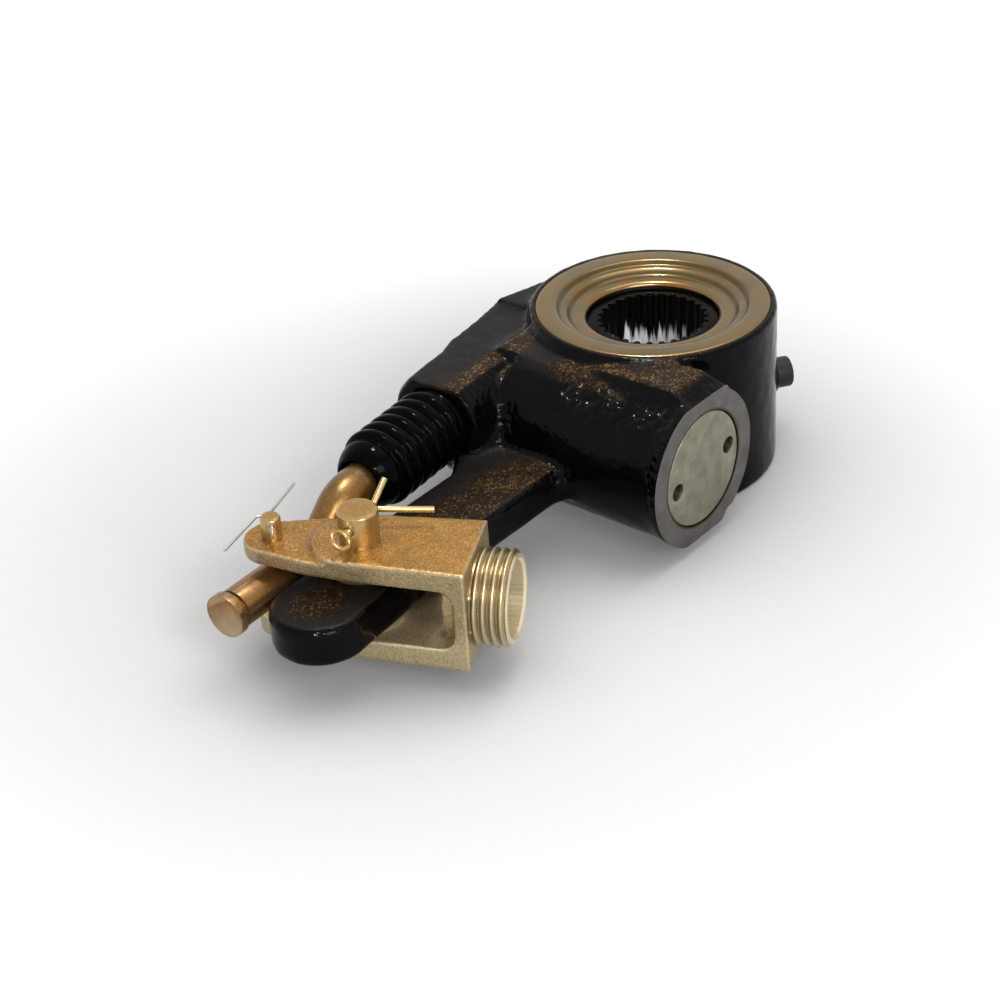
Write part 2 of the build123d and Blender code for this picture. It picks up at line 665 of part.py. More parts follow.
def boot():
    """Bellows of one wall thickness with a domed end and a lip for its seat."""
    last = BOOT_FOLD_START + BOOT_FOLDS * BOOT_FOLD_PITCH - BOOT_FOLD_PITCH / 2
    outside = boot_profile(0) + [(BOOT_VALLEY_R, last), (BOOT_VALLEY_R, last + BOOT_DOME_START)]
    outside += [(BOOT_COLLAR_R, BOOT_LENGTH)]
    inside = boot_profile(BOOT_WALL) + [(BOOT_VALLEY_R - BOOT_WALL, last)]
    inside += [(ROD_R + GAP + 0.2, BOOT_LENGTH - BOOT_COLLAR_LENGTH), (ROD_R + GAP, BOOT_LENGTH)]
    return turned(RACK, outside + list(reversed(inside)))


def boot_ring():
    """Round wire ring that presses the boot's lip outwards into its seat."""
    radius = BOOT_SEAT_R - BOOT_LIP_GAP - BOOT_WALL - BOOT_RING_WIRE / 2
    place = -BOOT_SEAT_DEPTH + BOOT_RING_GAP + BOOT_RING_WIRE
    return RACK * Pos(0, 0, place) * Torus(radius, BOOT_RING_WIRE / 2)


def along(frame, distance):
    """Point of a frame's axis."""
    return (frame * Pos(0, 0, distance)).position


def link():
    """Bent rod from the rack's ball joint to its grooved head beyond the link pin."""
    points = [along(RACK, ROD_FULL_FROM), along(RACK, ROD_BEND_FROM)]
    points += [along(LINK_END, ROD_DROP), along(LINK_END, ROD_REACH - 8)]
    path = FilletPolyline(*points, radius=ROD_BEND_R)
    section = Plane(path @ 0, z_dir=path % 0) * Circle(ROD_R)
    rod = sweep(section, path=path)
    rod = rod + bar(RACK, ROD_NECK_R, ROD_START, ROD_FULL_FROM)
    rod += bar(RACK, BALL_NECK_R, BALL_PLACE, ROD_START)
    rod += RACK * Pos(0, 0, BALL_PLACE) * Sphere(BALL_R)
    head = ROD_REACH - ROD_HEAD_THICK
    rod += bar(LINK_END, ROD_GROOVE_R, ROD_REACH - 8, ROD_REACH)
    rod += bar(LINK_END, ROD_R, ROD_REACH - 8, head - ROD_GROOVE)
    rod += bar(LINK_END, ROD_HEAD_R, head, ROD_REACH)
    return rod - bar(Pos(LINK_PIN_X, LINK_PIN_Y, 0), LINK_PIN_R + RUN, -20, 20)


def ear_outline(end_r, low, high):
    """Plan of an ear: the block's width, narrowing to the round end at the link pin."""
    half = BLOCK_HALF_WIDTH
    points = [(BLOCK_END, -half), (BLOCK_END, half), (0, half - 1.8), (-15, half - 3.5)]
    points += [(LINK_PIN_PLACE, end_r), (LINK_PIN_PLACE, -end_r), (-15, -half + 3.5), (0, -half + 1.8)]
    return slab(points, low, high) + bar(Pos(LINK_PIN_PLACE, 0, 0), end_r, low, high)


def clevis():
    """Two ears joined by a block, with the threaded collar for the push rod."""
    body = ear_outline(EAR_END_R, GAP_MIDDLE, CLEVIS_TOP)
    body += ear_outline(LOWER_EAR_END_R, CLEVIS_BOTTOM, GAP_MIDDLE)
    gap = block((-60, WEB_FROM + 6), (-30, 30), (GAP_BOTTOM, GAP_TOP))
    inner = [e for e in gap.edges().filter_by(Axis.Y) if e.center().X > 0]
    body -= fillet(inner, WEB_EDGE)
    for low, high in ((PAD_TOP, GAP_TOP + 1), (GAP_BOTTOM - 1, PAD_BOTTOM)):
        body += bar(Location(), PAD_R, low, high)
    step = block((-60, -STEP_R / 3), (-30, 30), (CLEVIS_TOP - STEP_DOWN, CLEVIS_TOP + 1))
    body -= step - bar(Location(), STEP_R, GAP_TOP, CLEVIS_TOP + 2)
    body -= bar(Location(), CLEVIS_PIN_R + PIN_GAP, CLEVIS_BOTTOM - 1, CLEVIS_TOP + 1)
    body -= bar(Pos(LINK_PIN_PLACE, 0, 0), LINK_PIN_R + PIN_GAP, CLEVIS_BOTTOM - 1, CLEVIS_TOP + 1)
    return (CLEVIS * body) + collar() - bar(THREAD, COLLAR_BORE_R, WEB_FROM, COLLAR_END + 1)


def collar():
    """Outside thread of the collar, drawn as ridges of its pitch."""
    profile = [(0, BLOCK_END - 2), (COLLAR_ROOT_R, BLOCK_END - 2)]
    count = int((COLLAR_END - BLOCK_END) / THREAD_PITCH)
    for k in range(count):
        place = COLLAR_END - (count - k) * THREAD_PITCH
        profile += [(COLLAR_R, place + THREAD_PITCH * 0.35), (COLLAR_R, place + THREAD_PITCH * 0.65)]
        profile += [(COLLAR_ROOT_R, place + THREAD_PITCH)]
    profile += [(0, COLLAR_END)]
    return turned(THREAD, profile)


def headed_pin(x, y, radius, top, head_r, head, cotter_z, cotter_angle, cotter_r):
    """Plain pin with its head under the lower ear and a cross hole near its top."""
    frame = Pos(x, y, 0)
    pin = bar(frame, radius, CLEVIS_BOTTOM, top) + bar(frame, head_r, CLEVIS_BOTTOM - head, CLEVIS_BOTTOM)
    pin = chamfer(pin.edges().filter_by(GeomType.CIRCLE).sort_by(Axis.Z)[-1], PIN_CHAMFER)
    hole = frame * Pos(0, 0, cotter_z) * Rot(0, 0, cotter_angle) * Rot(0, 90, 0)
    return pin - bar(hole, cotter_r + COTTER_HOLE_GAP, -2 * radius, 2 * radius)


def cotter(x, y, z, angle, wire_r, eye_r, pin_r, tilt, legs):
    """Split pin: an open eye before the pin and two legs that are bent behind it."""
    frame = Pos(x, y, z) * Rot(0, 0, angle)
    eye_x = pin_r + eye_r + wire_r
    eye = Pos(eye_x, 0, 0) * tilt * Torus(eye_r, wire_r * 0.5)
    shank = bar(Rot(0, 90, 0), wire_r, -pin_r - 1, eye_x - eye_r)
    body = frame * (eye + shank)
    for points in legs:
        path = FilletPolyline((-pin_r + 1, 0, 0), (-pin_r - 1.5, 0, 0), *points, radius=1)
        section = Plane(path @ 0, z_dir=path % 0) * Circle(wire_r * 0.62)
        body += frame * sweep(section, path=path)
    return body


def clevis_pin():
    return headed_pin(ARM_LENGTH, 0, CLEVIS_PIN_R, CLEVIS_PIN_TOP, CLEVIS_PIN_HEAD_R,
                      CLEVIS_PIN_HEAD, CLEVIS_COTTER_Z, CLEVIS_COTTER_ANGLE, CLEVIS_COTTER_R)


def link_pin():
    return headed_pin(LINK_PIN_X, LINK_PIN_Y, LINK_PIN_R, LINK_PIN_TOP, LINK_PIN_HEAD_R,
                      LINK_PIN_HEAD, LINK_COTTER_Z, LINK_COTTER_ANGLE, LINK_COTTER_R)


def clevis_cotter():
    return cotter(ARM_LENGTH, 0, CLEVIS_COTTER_Z, CLEVIS_COTTER_ANGLE, CLEVIS_COTTER_R,
                  CLEVIS_COTTER_EYE_R, CLEVIS_PIN_R, Location(), CLEVIS_COTTER_LEGS)


def link_cotter():
    return cotter(LINK_PIN_X, LINK_PIN_Y, LINK_COTTER_Z, LINK_COTTER_ANGLE, LINK_COTTER_R,
                  LINK_COTTER_EYE_R, LINK_PIN_R, Rot(90, 0, 0), LINK_COTTER_LEGS)


def arm_bush():
    outer = CLEVIS_PIN_R + PIN_GAP + BUSH_WALL
    return ring(Pos(ARM_LENGTH, 0, 0), outer, CLEVIS_PIN_R + RUN, ARM_BOTTOM, ARM_TOP)


def grease_plug():
    return bar(GREASE, GREASE_PLUG_R, HUB_R - 6, GREASE_PLUG_REACH)


PARTS = {
    "housing": housing,
    "cover_plate_top": lambda: cover_plate(1),
    "cover_plate_bottom": lambda: cover_plate(-1),
    "worm_wheel": worm_wheel,
    "wheel_bush_top": lambda: wheel_bush(1),
    "wheel_bush_bottom": lambda: wheel_bush(-1),
    "wheel_seal_top": lambda: wheel_seal(1),
    "wheel_seal_bottom": lambda: wheel_seal(-1),
    "worm_shaft": worm_shaft,
    "adjusting_hex": adjusting_hex,
    "hex_pin": lambda: hex_pin_bar(HEX_PIN_R),
    "worm_bush_inner": lambda: worm_bush("inner"),
    "worm_bush_cap_end": lambda: worm_bush("cap"),
    "thrust_washer": thrust_washer,
    "cup_springs": cup_springs,
    "spring_seat": spring_seat,
    "cap_gasket": cap_gasket,
    "worm_cap": worm_cap,
    "shaft_seal": shaft_seal,
    "pinion": pinion,
    "wrap_spring": wrap_spring,
    "rack": rack,
    "rack_spring": rack_spring,
    "rack_plug": rack_plug,
    "boot": boot,
    "boot_ring": boot_ring,
    "link": link,
    "clevis": clevis,
    "clevis_pin": clevis_pin,
    "link_pin": link_pin,
    "clevis_cotter": clevis_cotter,
    "link_cotter": link_cotter,
    "arm_bush": arm_bush,
    "grease_plug": grease_plug,
}

os.makedirs("parts", exist_ok=True)
for name, make in PARTS.items():
    export_step(make(), f"parts/{name}.step")
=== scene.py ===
import math

import bmesh
import bpy
import numpy as np
from mathutils import Matrix, Vector, noise


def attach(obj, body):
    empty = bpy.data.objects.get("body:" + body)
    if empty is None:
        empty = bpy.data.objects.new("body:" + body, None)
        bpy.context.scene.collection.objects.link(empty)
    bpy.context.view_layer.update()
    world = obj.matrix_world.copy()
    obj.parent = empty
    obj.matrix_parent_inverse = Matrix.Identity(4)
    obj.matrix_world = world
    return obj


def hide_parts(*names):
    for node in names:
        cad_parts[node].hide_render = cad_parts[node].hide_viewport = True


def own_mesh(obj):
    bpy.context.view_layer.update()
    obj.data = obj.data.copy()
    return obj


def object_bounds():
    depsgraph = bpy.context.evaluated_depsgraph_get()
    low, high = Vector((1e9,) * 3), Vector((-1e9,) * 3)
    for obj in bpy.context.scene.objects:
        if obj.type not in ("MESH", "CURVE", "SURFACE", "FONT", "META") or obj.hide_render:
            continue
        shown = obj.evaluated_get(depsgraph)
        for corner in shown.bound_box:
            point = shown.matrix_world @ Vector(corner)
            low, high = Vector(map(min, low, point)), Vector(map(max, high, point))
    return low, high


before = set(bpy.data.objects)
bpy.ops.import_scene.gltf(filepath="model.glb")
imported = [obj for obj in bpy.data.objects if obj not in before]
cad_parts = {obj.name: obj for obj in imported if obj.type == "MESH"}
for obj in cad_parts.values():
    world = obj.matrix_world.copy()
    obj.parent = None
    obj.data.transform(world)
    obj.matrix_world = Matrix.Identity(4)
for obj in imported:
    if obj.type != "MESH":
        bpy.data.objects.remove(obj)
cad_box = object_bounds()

MM = 0.001


# Housing
# A sand cast ductile iron lever: hub, worm barrel, rack housing and arm in one casting.
# It is cast first with its soft fillets, then bored and faced, and then painted black.
HUB_R = 42.8
HUB_HALF = 29.8
BARREL_X = 42
BARREL_FACE = 50
FACING_STOCK = 2
BARREL_END = BARREL_FACE + FACING_STOCK
ARM_LENGTH = 152.4
ARM_BOTTOM = -12.1
ARM_TOP = 1.4
RACK_MOUTH = (80.5, -31.6, 9.8)
RACK_ANGLE = 6
GREASE_ANGLE = 145
GREASE_Z = -7.6

SPINE = Matrix.Identity(4)
WORM = Matrix.Translation((BARREL_X, 0, 0)) @ Matrix.Rotation(math.radians(-90), 4, "X")
RACK = Matrix.Translation(RACK_MOUTH) @ Matrix.Rotation(math.radians(RACK_ANGLE), 4, "Z") \
    @ Matrix.Rotation(math.radians(90), 4, "Y")
GREASE = Matrix.Translation((0, 0, GREASE_Z)) @ Matrix.Rotation(math.radians(GREASE_ANGLE), 4, "Z") \
    @ Matrix.Rotation(math.radians(90), 4, "Y")
ARM_PIN = Matrix.Translation((ARM_LENGTH, 0, 0))


def linear(colour):
    """Linear colour for a shader socket from an sRGB hex value."""
    parts = [int(colour[i:i + 2], 16) / 255 for i in (1, 3, 5)]
    return tuple(c / 12.92 if c <= 0.04045 else ((c + 0.055) / 1.055) ** 2.4 for c in parts) + (1,)


def add(tree, kind, settings, sockets, out=0):
    """Adds a node with its settings and gives back one of its outputs. A socket takes a number, a
    colour in hex or an output to link, and stops are the places and colours of a colour ramp."""
    node = tree.nodes.new("ShaderNode" + kind)
    for name, value in settings.items():
        if name != "stops":
            setattr(node, name, value)
            continue
        for extra in value[2:]:
            node.color_ramp.elements.new(0)
        for element, (place, colour) in zip(node.color_ramp.elements, value):
            element.position = place
            element.color = linear(colour)
    for name, value in sockets.items():
        if isinstance(value, bpy.types.NodeSocket):
            tree.links.new(value, node.inputs[name])
        else:
            node.inputs[name].default_value = linear(value) if isinstance(value, str) else value
    return node.outputs[out]


def new_material(name, metallic, ior=1.5):
    """Empty material: its tree, its shader, and where a point is on the piece."""
    material = bpy.data.materials.new(name)
    material.use_nodes = True
    tree = material.node_tree
    shader = tree.nodes["Principled BSDF"]
    shader.inputs["Metallic"].default_value = metallic
    if not metallic:
        shader.inputs["IOR"].default_value = ior
    return material, tree, shader, add(tree, "TexCoord", {}, {}, "Object")


def finish_shader(tree, shader, colour, roughness, normal):
    """Links what every finish ends in to the shader."""
    for name, value in (("Base Color", colour), ("Roughness", roughness), ("Normal", normal)):
        tree.links.new(value, shader.inputs[name])


def near(tree, where, centre, reach, most):
    """Most at a place on the piece, fading to 0 at its reach along X, Y and Z, all in mm."""
    moved = add(tree, "Mapping", {"vector_type": "TEXTURE"}, {
        "Vector": where, "Location": Vector(centre) * MM, "Scale": Vector(reach) * MM})
    length = add(tree, "VectorMath", {"operation": "LENGTH"}, {0: moved}, "Value")
    return add(tree, "MapRange", {"interpolation_type": "SMOOTHSTEP"}, {
        "Value": length, "From Min": 0.5, "From Max": 1.05, "To Min": most, "To Max": 0})


# Where the flats that face upwards get a bronze speckle, and where the sand's lumps are coarse enough to
# glint: centre and reach in mm, and how strongly.
BRONZE_SPECKLE = (
    ((58, 31, 26), (28, 22, 8), 1), ((38, 37, 26), (28, 16, 8), 1), ((52, 14, 26), (16, 26, 8), 1),
    ((92, 4, 1), (38, 13, 5), 0.66), ((114, 1, 1), (24, 12, 5), 0.58), ((172, 0, 1), (14, 11, 5), 0.5),
    ((48, -25, 24), (38, 7, 7), 1), ((72, -25, 24), (18, 7, 7), 0.9))
LUMPY = (
    ((55, 24, 22), (9, 30, 8), 1.3), ((66, 48, 8), (10, 4, 15), 2.2),
    ((71, 12, 0), (6, 7, 5), 2.4), ((66, -13, 10), (5, 5, 12), 1.8))


def enamel_on_cast_iron():
    """Black enamel sprayed over a sand casting: deep gloss that glints on the sand's lumps, and a
    dry bronze speckle on the flats that face upwards, strongest in the listed patches."""
    material, tree, shader, where = new_material("enamel_on_cast_iron", 0, 1.16)
    flow = add(tree, "TexNoise", {}, {"Vector": where, "Scale": 1 / (9 * MM), "Detail": 3})
    dust = add(tree, "TexNoise", {}, {
        "Vector": where, "Scale": 1 / (0.7 * MM), "Detail": 3, "Roughness": 0.7})
    speckle_patches = 0
    for patch in BRONZE_SPECKLE:
        speckle_patches = add(tree, "Math", {"operation": "MAXIMUM"}, {0: speckle_patches, 1: near(tree, where, *patch)})
    facing = add(tree, "TexCoord", {}, {}, "Normal")
    facing = add(tree, "SeparateXYZ", {}, {0: facing}, "Z")
    level = add(tree, "MapRange", {"interpolation_type": "SMOOTHSTEP"}, {
        "Value": facing, "From Min": 0.86, "From Max": 0.98})
    to_face = add(tree, "SeparateXYZ", {}, {0: where}, "Y")
    inboard = add(tree, "MapRange", {}, {
        "Value": to_face, "From Min": 43 * MM, "From Max": 45.5 * MM, "To Min": 1, "To Max": 0})
    level = add(tree, "Math", {"operation": "MULTIPLY"}, {0: level, 1: inboard})
    thick = add(tree, "Math", {"operation": "MULTIPLY_ADD"}, {0: speckle_patches, 1: 0.34, 2: dust})
    cover = add(tree, "MapRange", {"interpolation_type": "SMOOTHSTEP"}, {
        "Value": thick, "From Min": 0.56, "From Max": 0.84})
    cover = add(tree, "Math", {"operation": "MULTIPLY"}, {0: cover, 1: level})
    black = add(tree, "ValToRGB", {"stops": [(0.35, "#040405"), (0.7, "#0a0a0b")]}, {"Fac": flow})
    film = add(tree, "MapRange", {}, {
        "Value": dust, "From Min": 0.35, "From Max": 0.7, "To Min": 0.3, "To Max": 0.9})
    film = add(tree, "Math", {"operation": "MULTIPLY"}, {0: film, 1: level})
    tint = add(tree, "Mix", {"data_type": "RGBA"}, {"Factor": speckle_patches, 6: "#292624", 7: "#33210c"}, 2)
    dull = add(tree, "Mix", {"data_type": "RGBA"}, {"Factor": film, 6: black, 7: tint}, 2)
    # The grains, 0.3 mm and less on the real one, are drawn at 0.65 mm.
    grains = add(tree, "TexVoronoi", {}, {"Vector": where, "Scale": 1 / (0.65 * MM)}, "Color")
    grains = add(tree, "SeparateXYZ", {}, {0: grains})
    drift = add(tree, "TexNoise", {}, {"Vector": where, "Scale": 1 / (5 * MM), "Detail": 3})
    grains = add(tree, "Math", {"operation": "MULTIPLY_ADD"}, {0: drift, 1: 0.9, 2: grains})
    grains = add(tree, "Math", {"operation": "MULTIPLY"}, {0: grains, 1: 0.7})
    bronze = add(tree, "ValToRGB", {"stops": [
        (0.4, "#120b05"), (0.64, "#2b1e0d"), (0.84, "#412f15"), (0.99, "#826335")]}, {"Fac": grains})
    colour = add(tree, "Mix", {"data_type": "RGBA"}, {"Factor": cover, 6: dull, 7: bronze}, 2)
    gloss = add(tree, "MapRange", {}, {
        "Value": flow, "From Min": 0.3, "From Max": 0.7, "To Min": 0.06, "To Max": 0.16})
    rough = add(tree, "Math", {"operation": "MULTIPLY_ADD"}, {0: level, 1: 0.3, 2: gloss})
    # The sand's lumps, each about 2.6 mm across, which glint one by one near a reflection's edge.
    cells = add(tree, "TexVoronoi", {"feature": "SMOOTH_F1"}, {
        "Vector": where, "Scale": 1 / (2.6 * MM), "Smoothness": 0.4})
    domes = add(tree, "Math", {"operation": "MULTIPLY"}, {0: cells, 1: cells})
    slope = add(tree, "MapRange", {"interpolation_type": "SMOOTHSTEP"}, {
        "Value": facing, "From Min": 0.3, "From Max": 0.6, "To Min": 0.03, "To Max": 0.35})
    for patch in LUMPY:
        slope = add(tree, "Math", {"operation": "MAXIMUM"}, {0: slope, 1: near(tree, where, *patch)})
    flat = add(tree, "MapRange", {}, {"Value": level, "To Min": 1, "To Max": 0.08})
    slope = add(tree, "Math", {"operation": "MULTIPLY"}, {0: slope, 1: flat})
    proud = add(tree, "MapRange", {}, {
        "Value": flow, "From Min": 0.4, "From Max": 0.6, "To Min": 0.4, "To Max": 1})
    proud = add(tree, "Math", {"operation": "MULTIPLY"}, {0: proud, 1: slope})
    domes = add(tree, "Math", {"operation": "MULTIPLY"}, {0: domes, 1: proud})
    skin = add(tree, "Bump", {"invert": True}, {"Height": domes, "Strength": 1, "Distance": 0.9 * MM})
    dusty = add(tree, "MapRange", {}, {"Value": level, "To Min": 0.02, "To Max": 0.4})
    skin = add(tree, "Bump", {}, {"Height": dust, "Strength": dusty, "Distance": 0.2 * MM, "Normal": skin})
    finish_shader(tree, shader, colour, rough, skin)
    return material


def faced_iron():
    """Cast iron faced on a lathe: neutral grey, fine turning lines, a soft sheen, and grime in the
    joint round the cap."""
    material, tree, shader, where = new_material("faced_iron", 0.85)
    axis = add(tree, "Mapping", {"vector_type": "TEXTURE"}, {
        "Vector": where, "Location": (BARREL_X * MM, 0, 0), "Scale": (1, 1e6, 1)})
    radius = add(tree, "VectorMath", {"operation": "LENGTH"}, {0: axis}, "Value")
    # The tool's lines, 0.1 mm apart on the real face, are drawn at 0.3 mm.
    lines = add(tree, "TexNoise", {"noise_dimensions": "1D"}, {
        "W": radius, "Scale": 1 / (0.3 * MM), "Detail": 2})
    stain = add(tree, "TexNoise", {}, {"Vector": where, "Scale": 1 / (7 * MM), "Detail": 3})
    colour = add(tree, "ValToRGB", {"stops": [(0.3, "#565452"), (0.7, "#6b6865")]}, {"Fac": stain})
    grime = add(tree, "MapRange", {}, {
        "Value": radius, "From Min": 20.3 * MM, "From Max": 21.2 * MM, "To Min": 1, "To Max": 0})
    colour = add(tree, "Mix", {"data_type": "RGBA"}, {"Factor": grime, 6: colour, 7: "#3d2e1a"}, 2)
    rough = add(tree, "MapRange", {}, {
        "Value": lines, "From Min": 0.3, "From Max": 0.7, "To Min": 0.42, "To Max": 0.6})
    finish_shader(tree, shader, colour, rough, add(tree, "Bump", {}, {
        "Height": lines, "Strength": 0.15, "Distance": 0.05 * MM}))
    return material


ENAMEL = enamel_on_cast_iron()
FACED = faced_iron()


def spun(profile, place, sides=128):
    """Closed solid turned from (radius, height) points in mm about a frame's Z."""
    bm = bmesh.new()
    verts = [bm.verts.new((r, 0, z)) for r, z in profile]
    edges = [bm.edges.new(ends) for ends in zip(verts, verts[1:] + verts[:1])]
    bmesh.ops.spin(bm, geom=verts + edges, axis=(0, 0, 1), cent=(0, 0, 0),
                   angle=2 * math.pi, steps=sides, use_merge=True)
    bmesh.ops.remove_doubles(bm, verts=bm.verts, dist=1e-4)
    bmesh.ops.dissolve_degenerate(bm, dist=1e-5, edges=bm.edges)
    bmesh.ops.recalc_face_normals(bm, faces=bm.faces)
    bmesh.ops.transform(bm, matrix=Matrix.Scale(MM, 4) @ place, verts=bm.verts)
    return bm


def hull(points):
    """Closed convex solid round corner points in mm."""
    bm = bmesh.new()
    for point in points:
        bm.verts.new(Vector(point) * MM)
    bmesh.ops.convex_hull(bm, input=bm.verts)
    return bm


def cylinder(radius, low, high, place):
    """Solid round bar in mm about a frame's Z."""
    return spun([(0, low), (radius, low), (radius, high), (0, high)], place, 96)


def from_cad(node):
    """Copy of a CAD node's mesh with its loose triangles merged."""
    bm = bmesh.new()
    bm.from_mesh(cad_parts[node].data)
    bmesh.ops.remove_doubles(bm, verts=bm.verts, dist=0.002 * MM)
    return bm


def as_mesh(bm, name):
    """Mesh made from a bmesh, which is freed."""
    mesh = bpy.data.meshes.new(name)
    bm.to_mesh(mesh)
    bm.free()
    return mesh


def joined(*parts):
    """One bmesh that holds the faces of several."""
    bm = parts[0]
    for part in parts[1:]:
        bm.from_mesh(as_mesh(part, "core"))
    return bm


def with_modifiers(mesh, *modifiers):
    """Mesh after the given (kind, settings) modifiers have been applied."""
    obj = bpy.data.objects.new("work", mesh)
    bpy.context.scene.collection.objects.link(obj)
    for kind, settings in modifiers:
        modifier = obj.modifiers.new(kind, kind)
        for name, value in settings.items():
            setattr(modifier, name, value)
    bpy.context.view_layer.update()
    graph = bpy.context.evaluated_depsgraph_get()
    result = bpy.data.meshes.new_from_object(obj.evaluated_get(graph))
    bpy.data.objects.remove(obj)
    return result


def soften(mesh, edges, corners, roughness_mm, lump_mm):
    """Rounds a mesh as a casting is, in so many steps: its edges a little, its inner corners more.
    Then it gets an uneven skin."""
    count = len(mesh.vertices)
    place = np.empty(count * 3)
    mesh.vertices.foreach_get("co", place)
    place = place.reshape(-1, 3)
    ends = np.empty(len(mesh.edges) * 2, int)
    mesh.edges.foreach_get("vertices", ends)
    one, other = ends.reshape(-1, 2).T
    share = (np.bincount(one, minlength=count) + np.bincount(other, minlength=count))[:, None]
    normal = np.empty(count * 3)
    for step in range(edges + corners):
        total = [np.bincount(one, place[other, axis], count)
                 + np.bincount(other, place[one, axis], count) for axis in range(3)]
        pull = np.stack(total, 1) / share - place
        if step >= edges:
            if (step - edges) % 5 == 0:
                mesh.vertices.foreach_set("co", place.ravel())
                mesh.update()
                mesh.vertex_normals.foreach_get("vector", normal)
            # Now only points that are pulled outwards move, which are those in inner corners.
            outward = (pull * normal.reshape(-1, 3)).sum(1)
            pull[outward < 0.004 * MM] = 0
        place = place + pull * 0.5
    mesh.vertices.foreach_set("co", place.ravel())
    mesh.update()
    mesh.vertex_normals.foreach_get("vector", normal)
    lumps = np.array([noise.noise(Vector(point) / (lump_mm * MM)) for point in place])
    place = place + normal.reshape(-1, 3) * lumps[:, None] * roughness_mm * MM
    mesh.vertices.foreach_set("co", place.ravel())
    mesh.update()


def machined(mesh, *tools, operation="DIFFERENCE"):
    """Cuts each tool's solid out of a mesh, or adds it. Its faces get the second material, or a later
    one that the tool's own faces name."""
    objects = []
    for bm in tools:
        for face in bm.faces:
            face.material_index = max(face.material_index, 1)
        tool = bpy.data.objects.new("tool", as_mesh(bm, "tool"))
        for material in mesh.materials:
            tool.data.materials.append(material)
        bpy.context.scene.collection.objects.link(tool)
        objects.append(tool)
    settings = [("BOOLEAN", {"operation": operation, "solver": "MANIFOLD", "object": tool,
                             "material_mode": "INDEX"}) for tool in objects]
    result = with_modifiers(mesh, *settings)
    for tool in objects:
        bpy.data.objects.remove(tool)
    return result


def piece(name, mesh, body, replaced=(), materials=(), sharp=32):
    """Object at the origin that rides on a body and stands for CAD nodes."""
    for material in materials:
        mesh.materials.append(material)
    mesh.shade_smooth()
    mesh.set_sharp_from_angle(angle=math.radians(sharp))
    obj = bpy.data.objects.new(name, mesh)
    bpy.context.scene.collection.objects.link(obj)
    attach(obj, body)
    if replaced:
        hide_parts(*replaced)
    return obj


casting = from_cad("housing")
for vertex in casting.verts:
    if vertex.co.y > (BARREL_FACE - 0.01) * MM:
        vertex.co.y += FACING_STOCK * MM
# Solid stock where the holes will be: radius, low end, high end and axis.
STOCK = (
    (HUB_R - 0.8, -HUB_HALF, HUB_HALF, SPINE),
    (22, 0, BARREL_END, WORM),
    (11, -51.5, 0, WORM),
    (13.5, -72, 0, RACK),
    (9, ARM_BOTTOM, ARM_TOP, ARM_PIN),
    (6, 30, 45, GREASE))
# Corners of the raised pad that runs along the barrel's top from the hub to the face.
PAD = [(x, y, 0) for x in (30, 55) for y in (8, BARREL_END)] + [
    (30, 8, 27), (46, 8, 27), (54, 8, 20),
    (30, 42, 29.2), (48, 42, 29.2), (55, 42, 22),
    (29, BARREL_END, 24.2), (48, BARREL_END, 24.2), (55, BARREL_END, 19)]
casting = joined(casting, *[cylinder(*bar) for bar in STOCK], hull(PAD))
casting = with_modifiers(as_mesh(casting, "housing"),
                         ("REMESH", {"mode": "VOXEL", "voxel_size": 0.8 * MM, "adaptivity": 0}))
soften(casting, edges=6, corners=45, roughness_mm=0.12, lump_mm=5)
for vertex in casting.vertices:
    vertex.co.z = min(max(vertex.co.z, -HUB_HALF * MM), HUB_HALF * MM)
casting.materials.append(ENAMEL)
casting.materials.append(FACED)
# Outline of each stepped bore as radius and height.
HUB_CUT = [(0, -31), (40.75, -31), (40.75, -28.2), (34.8, -28.2), (34.8, -21.9), (29.55, -21.9),
           (29.55, 21.9), (34.8, 21.9), (34.8, 28.2), (40.75, 28.2), (40.75, 31), (0, 31)]
BARREL_CUT = [(0, -53), (10, -53), (10, -23.4), (13.05, -23.4), (13.05, -18.2), (17.7, -18.2),
              (17.7, 39.6), (20.15, 39.6), (20.15, BARREL_FACE), (40, BARREL_FACE),
              (40, BARREL_FACE + 6), (0, BARREL_FACE + 6)]
RACK_CUT = [(0, -73), (7.55, -73), (7.55, -20), (10.5, -20), (10.5, -5), (12.8, -5), (12.8, 3), (0, 3)]
ARM_HOLE_R = 7.95
GREASE_HOLE_R = 5.5
casting = machined(
    casting, spun(HUB_CUT, SPINE, 192), spun(BARREL_CUT, WORM), spun(RACK_CUT, RACK),
    cylinder(ARM_HOLE_R, ARM_BOTTOM - 4, ARM_TOP + 4, ARM_PIN), cylinder(GREASE_HOLE_R, 27.55, 48, GREASE))
piece("housing_casting", casting, "adjuster_body", ["housing"])


# Bushes, seals and other inner parts
# Bronze rings carry the worm wheel and the worm, rubber rings keep the grease in, and the worm,
# its springs and the clutch are oiled steel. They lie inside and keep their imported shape.
def plain_finish(name, hues, rough, grain_mm, grain, metallic=1.0):
    """Finish with slow colour changes and a fine grain that also changes the gloss."""
    material, tree, shader, where = new_material(name, metallic, 1.35)
    slow = add(tree, "TexNoise", {}, {"Vector": where, "Scale": 1 / (9 * MM), "Detail": 3, "Roughness": 0.6})
    colour = add(tree, "ValToRGB", {"stops": list(zip((0.32, 0.5, 0.68), hues))}, {"Fac": slow})
    worn = add(tree, "TexNoise", {}, {"Vector": where, "Scale": 1 / (4 * MM), "Detail": 4, "Roughness": 0.6})
    gloss = add(tree, "MapRange", {}, {
        "Value": worn, "From Min": 0.3, "From Max": 0.7, "To Min": rough[0], "To Max": rough[1]})
    fine = add(tree, "TexNoise", {}, {
        "Vector": where, "Scale": 1 / (grain_mm * MM), "Detail": 3, "Roughness": 0.6})
    finish_shader(tree, shader, colour, gloss, add(tree, "Bump", {}, {
        "Height": fine, "Strength": grain, "Distance": 0.1 * MM}))
    return material


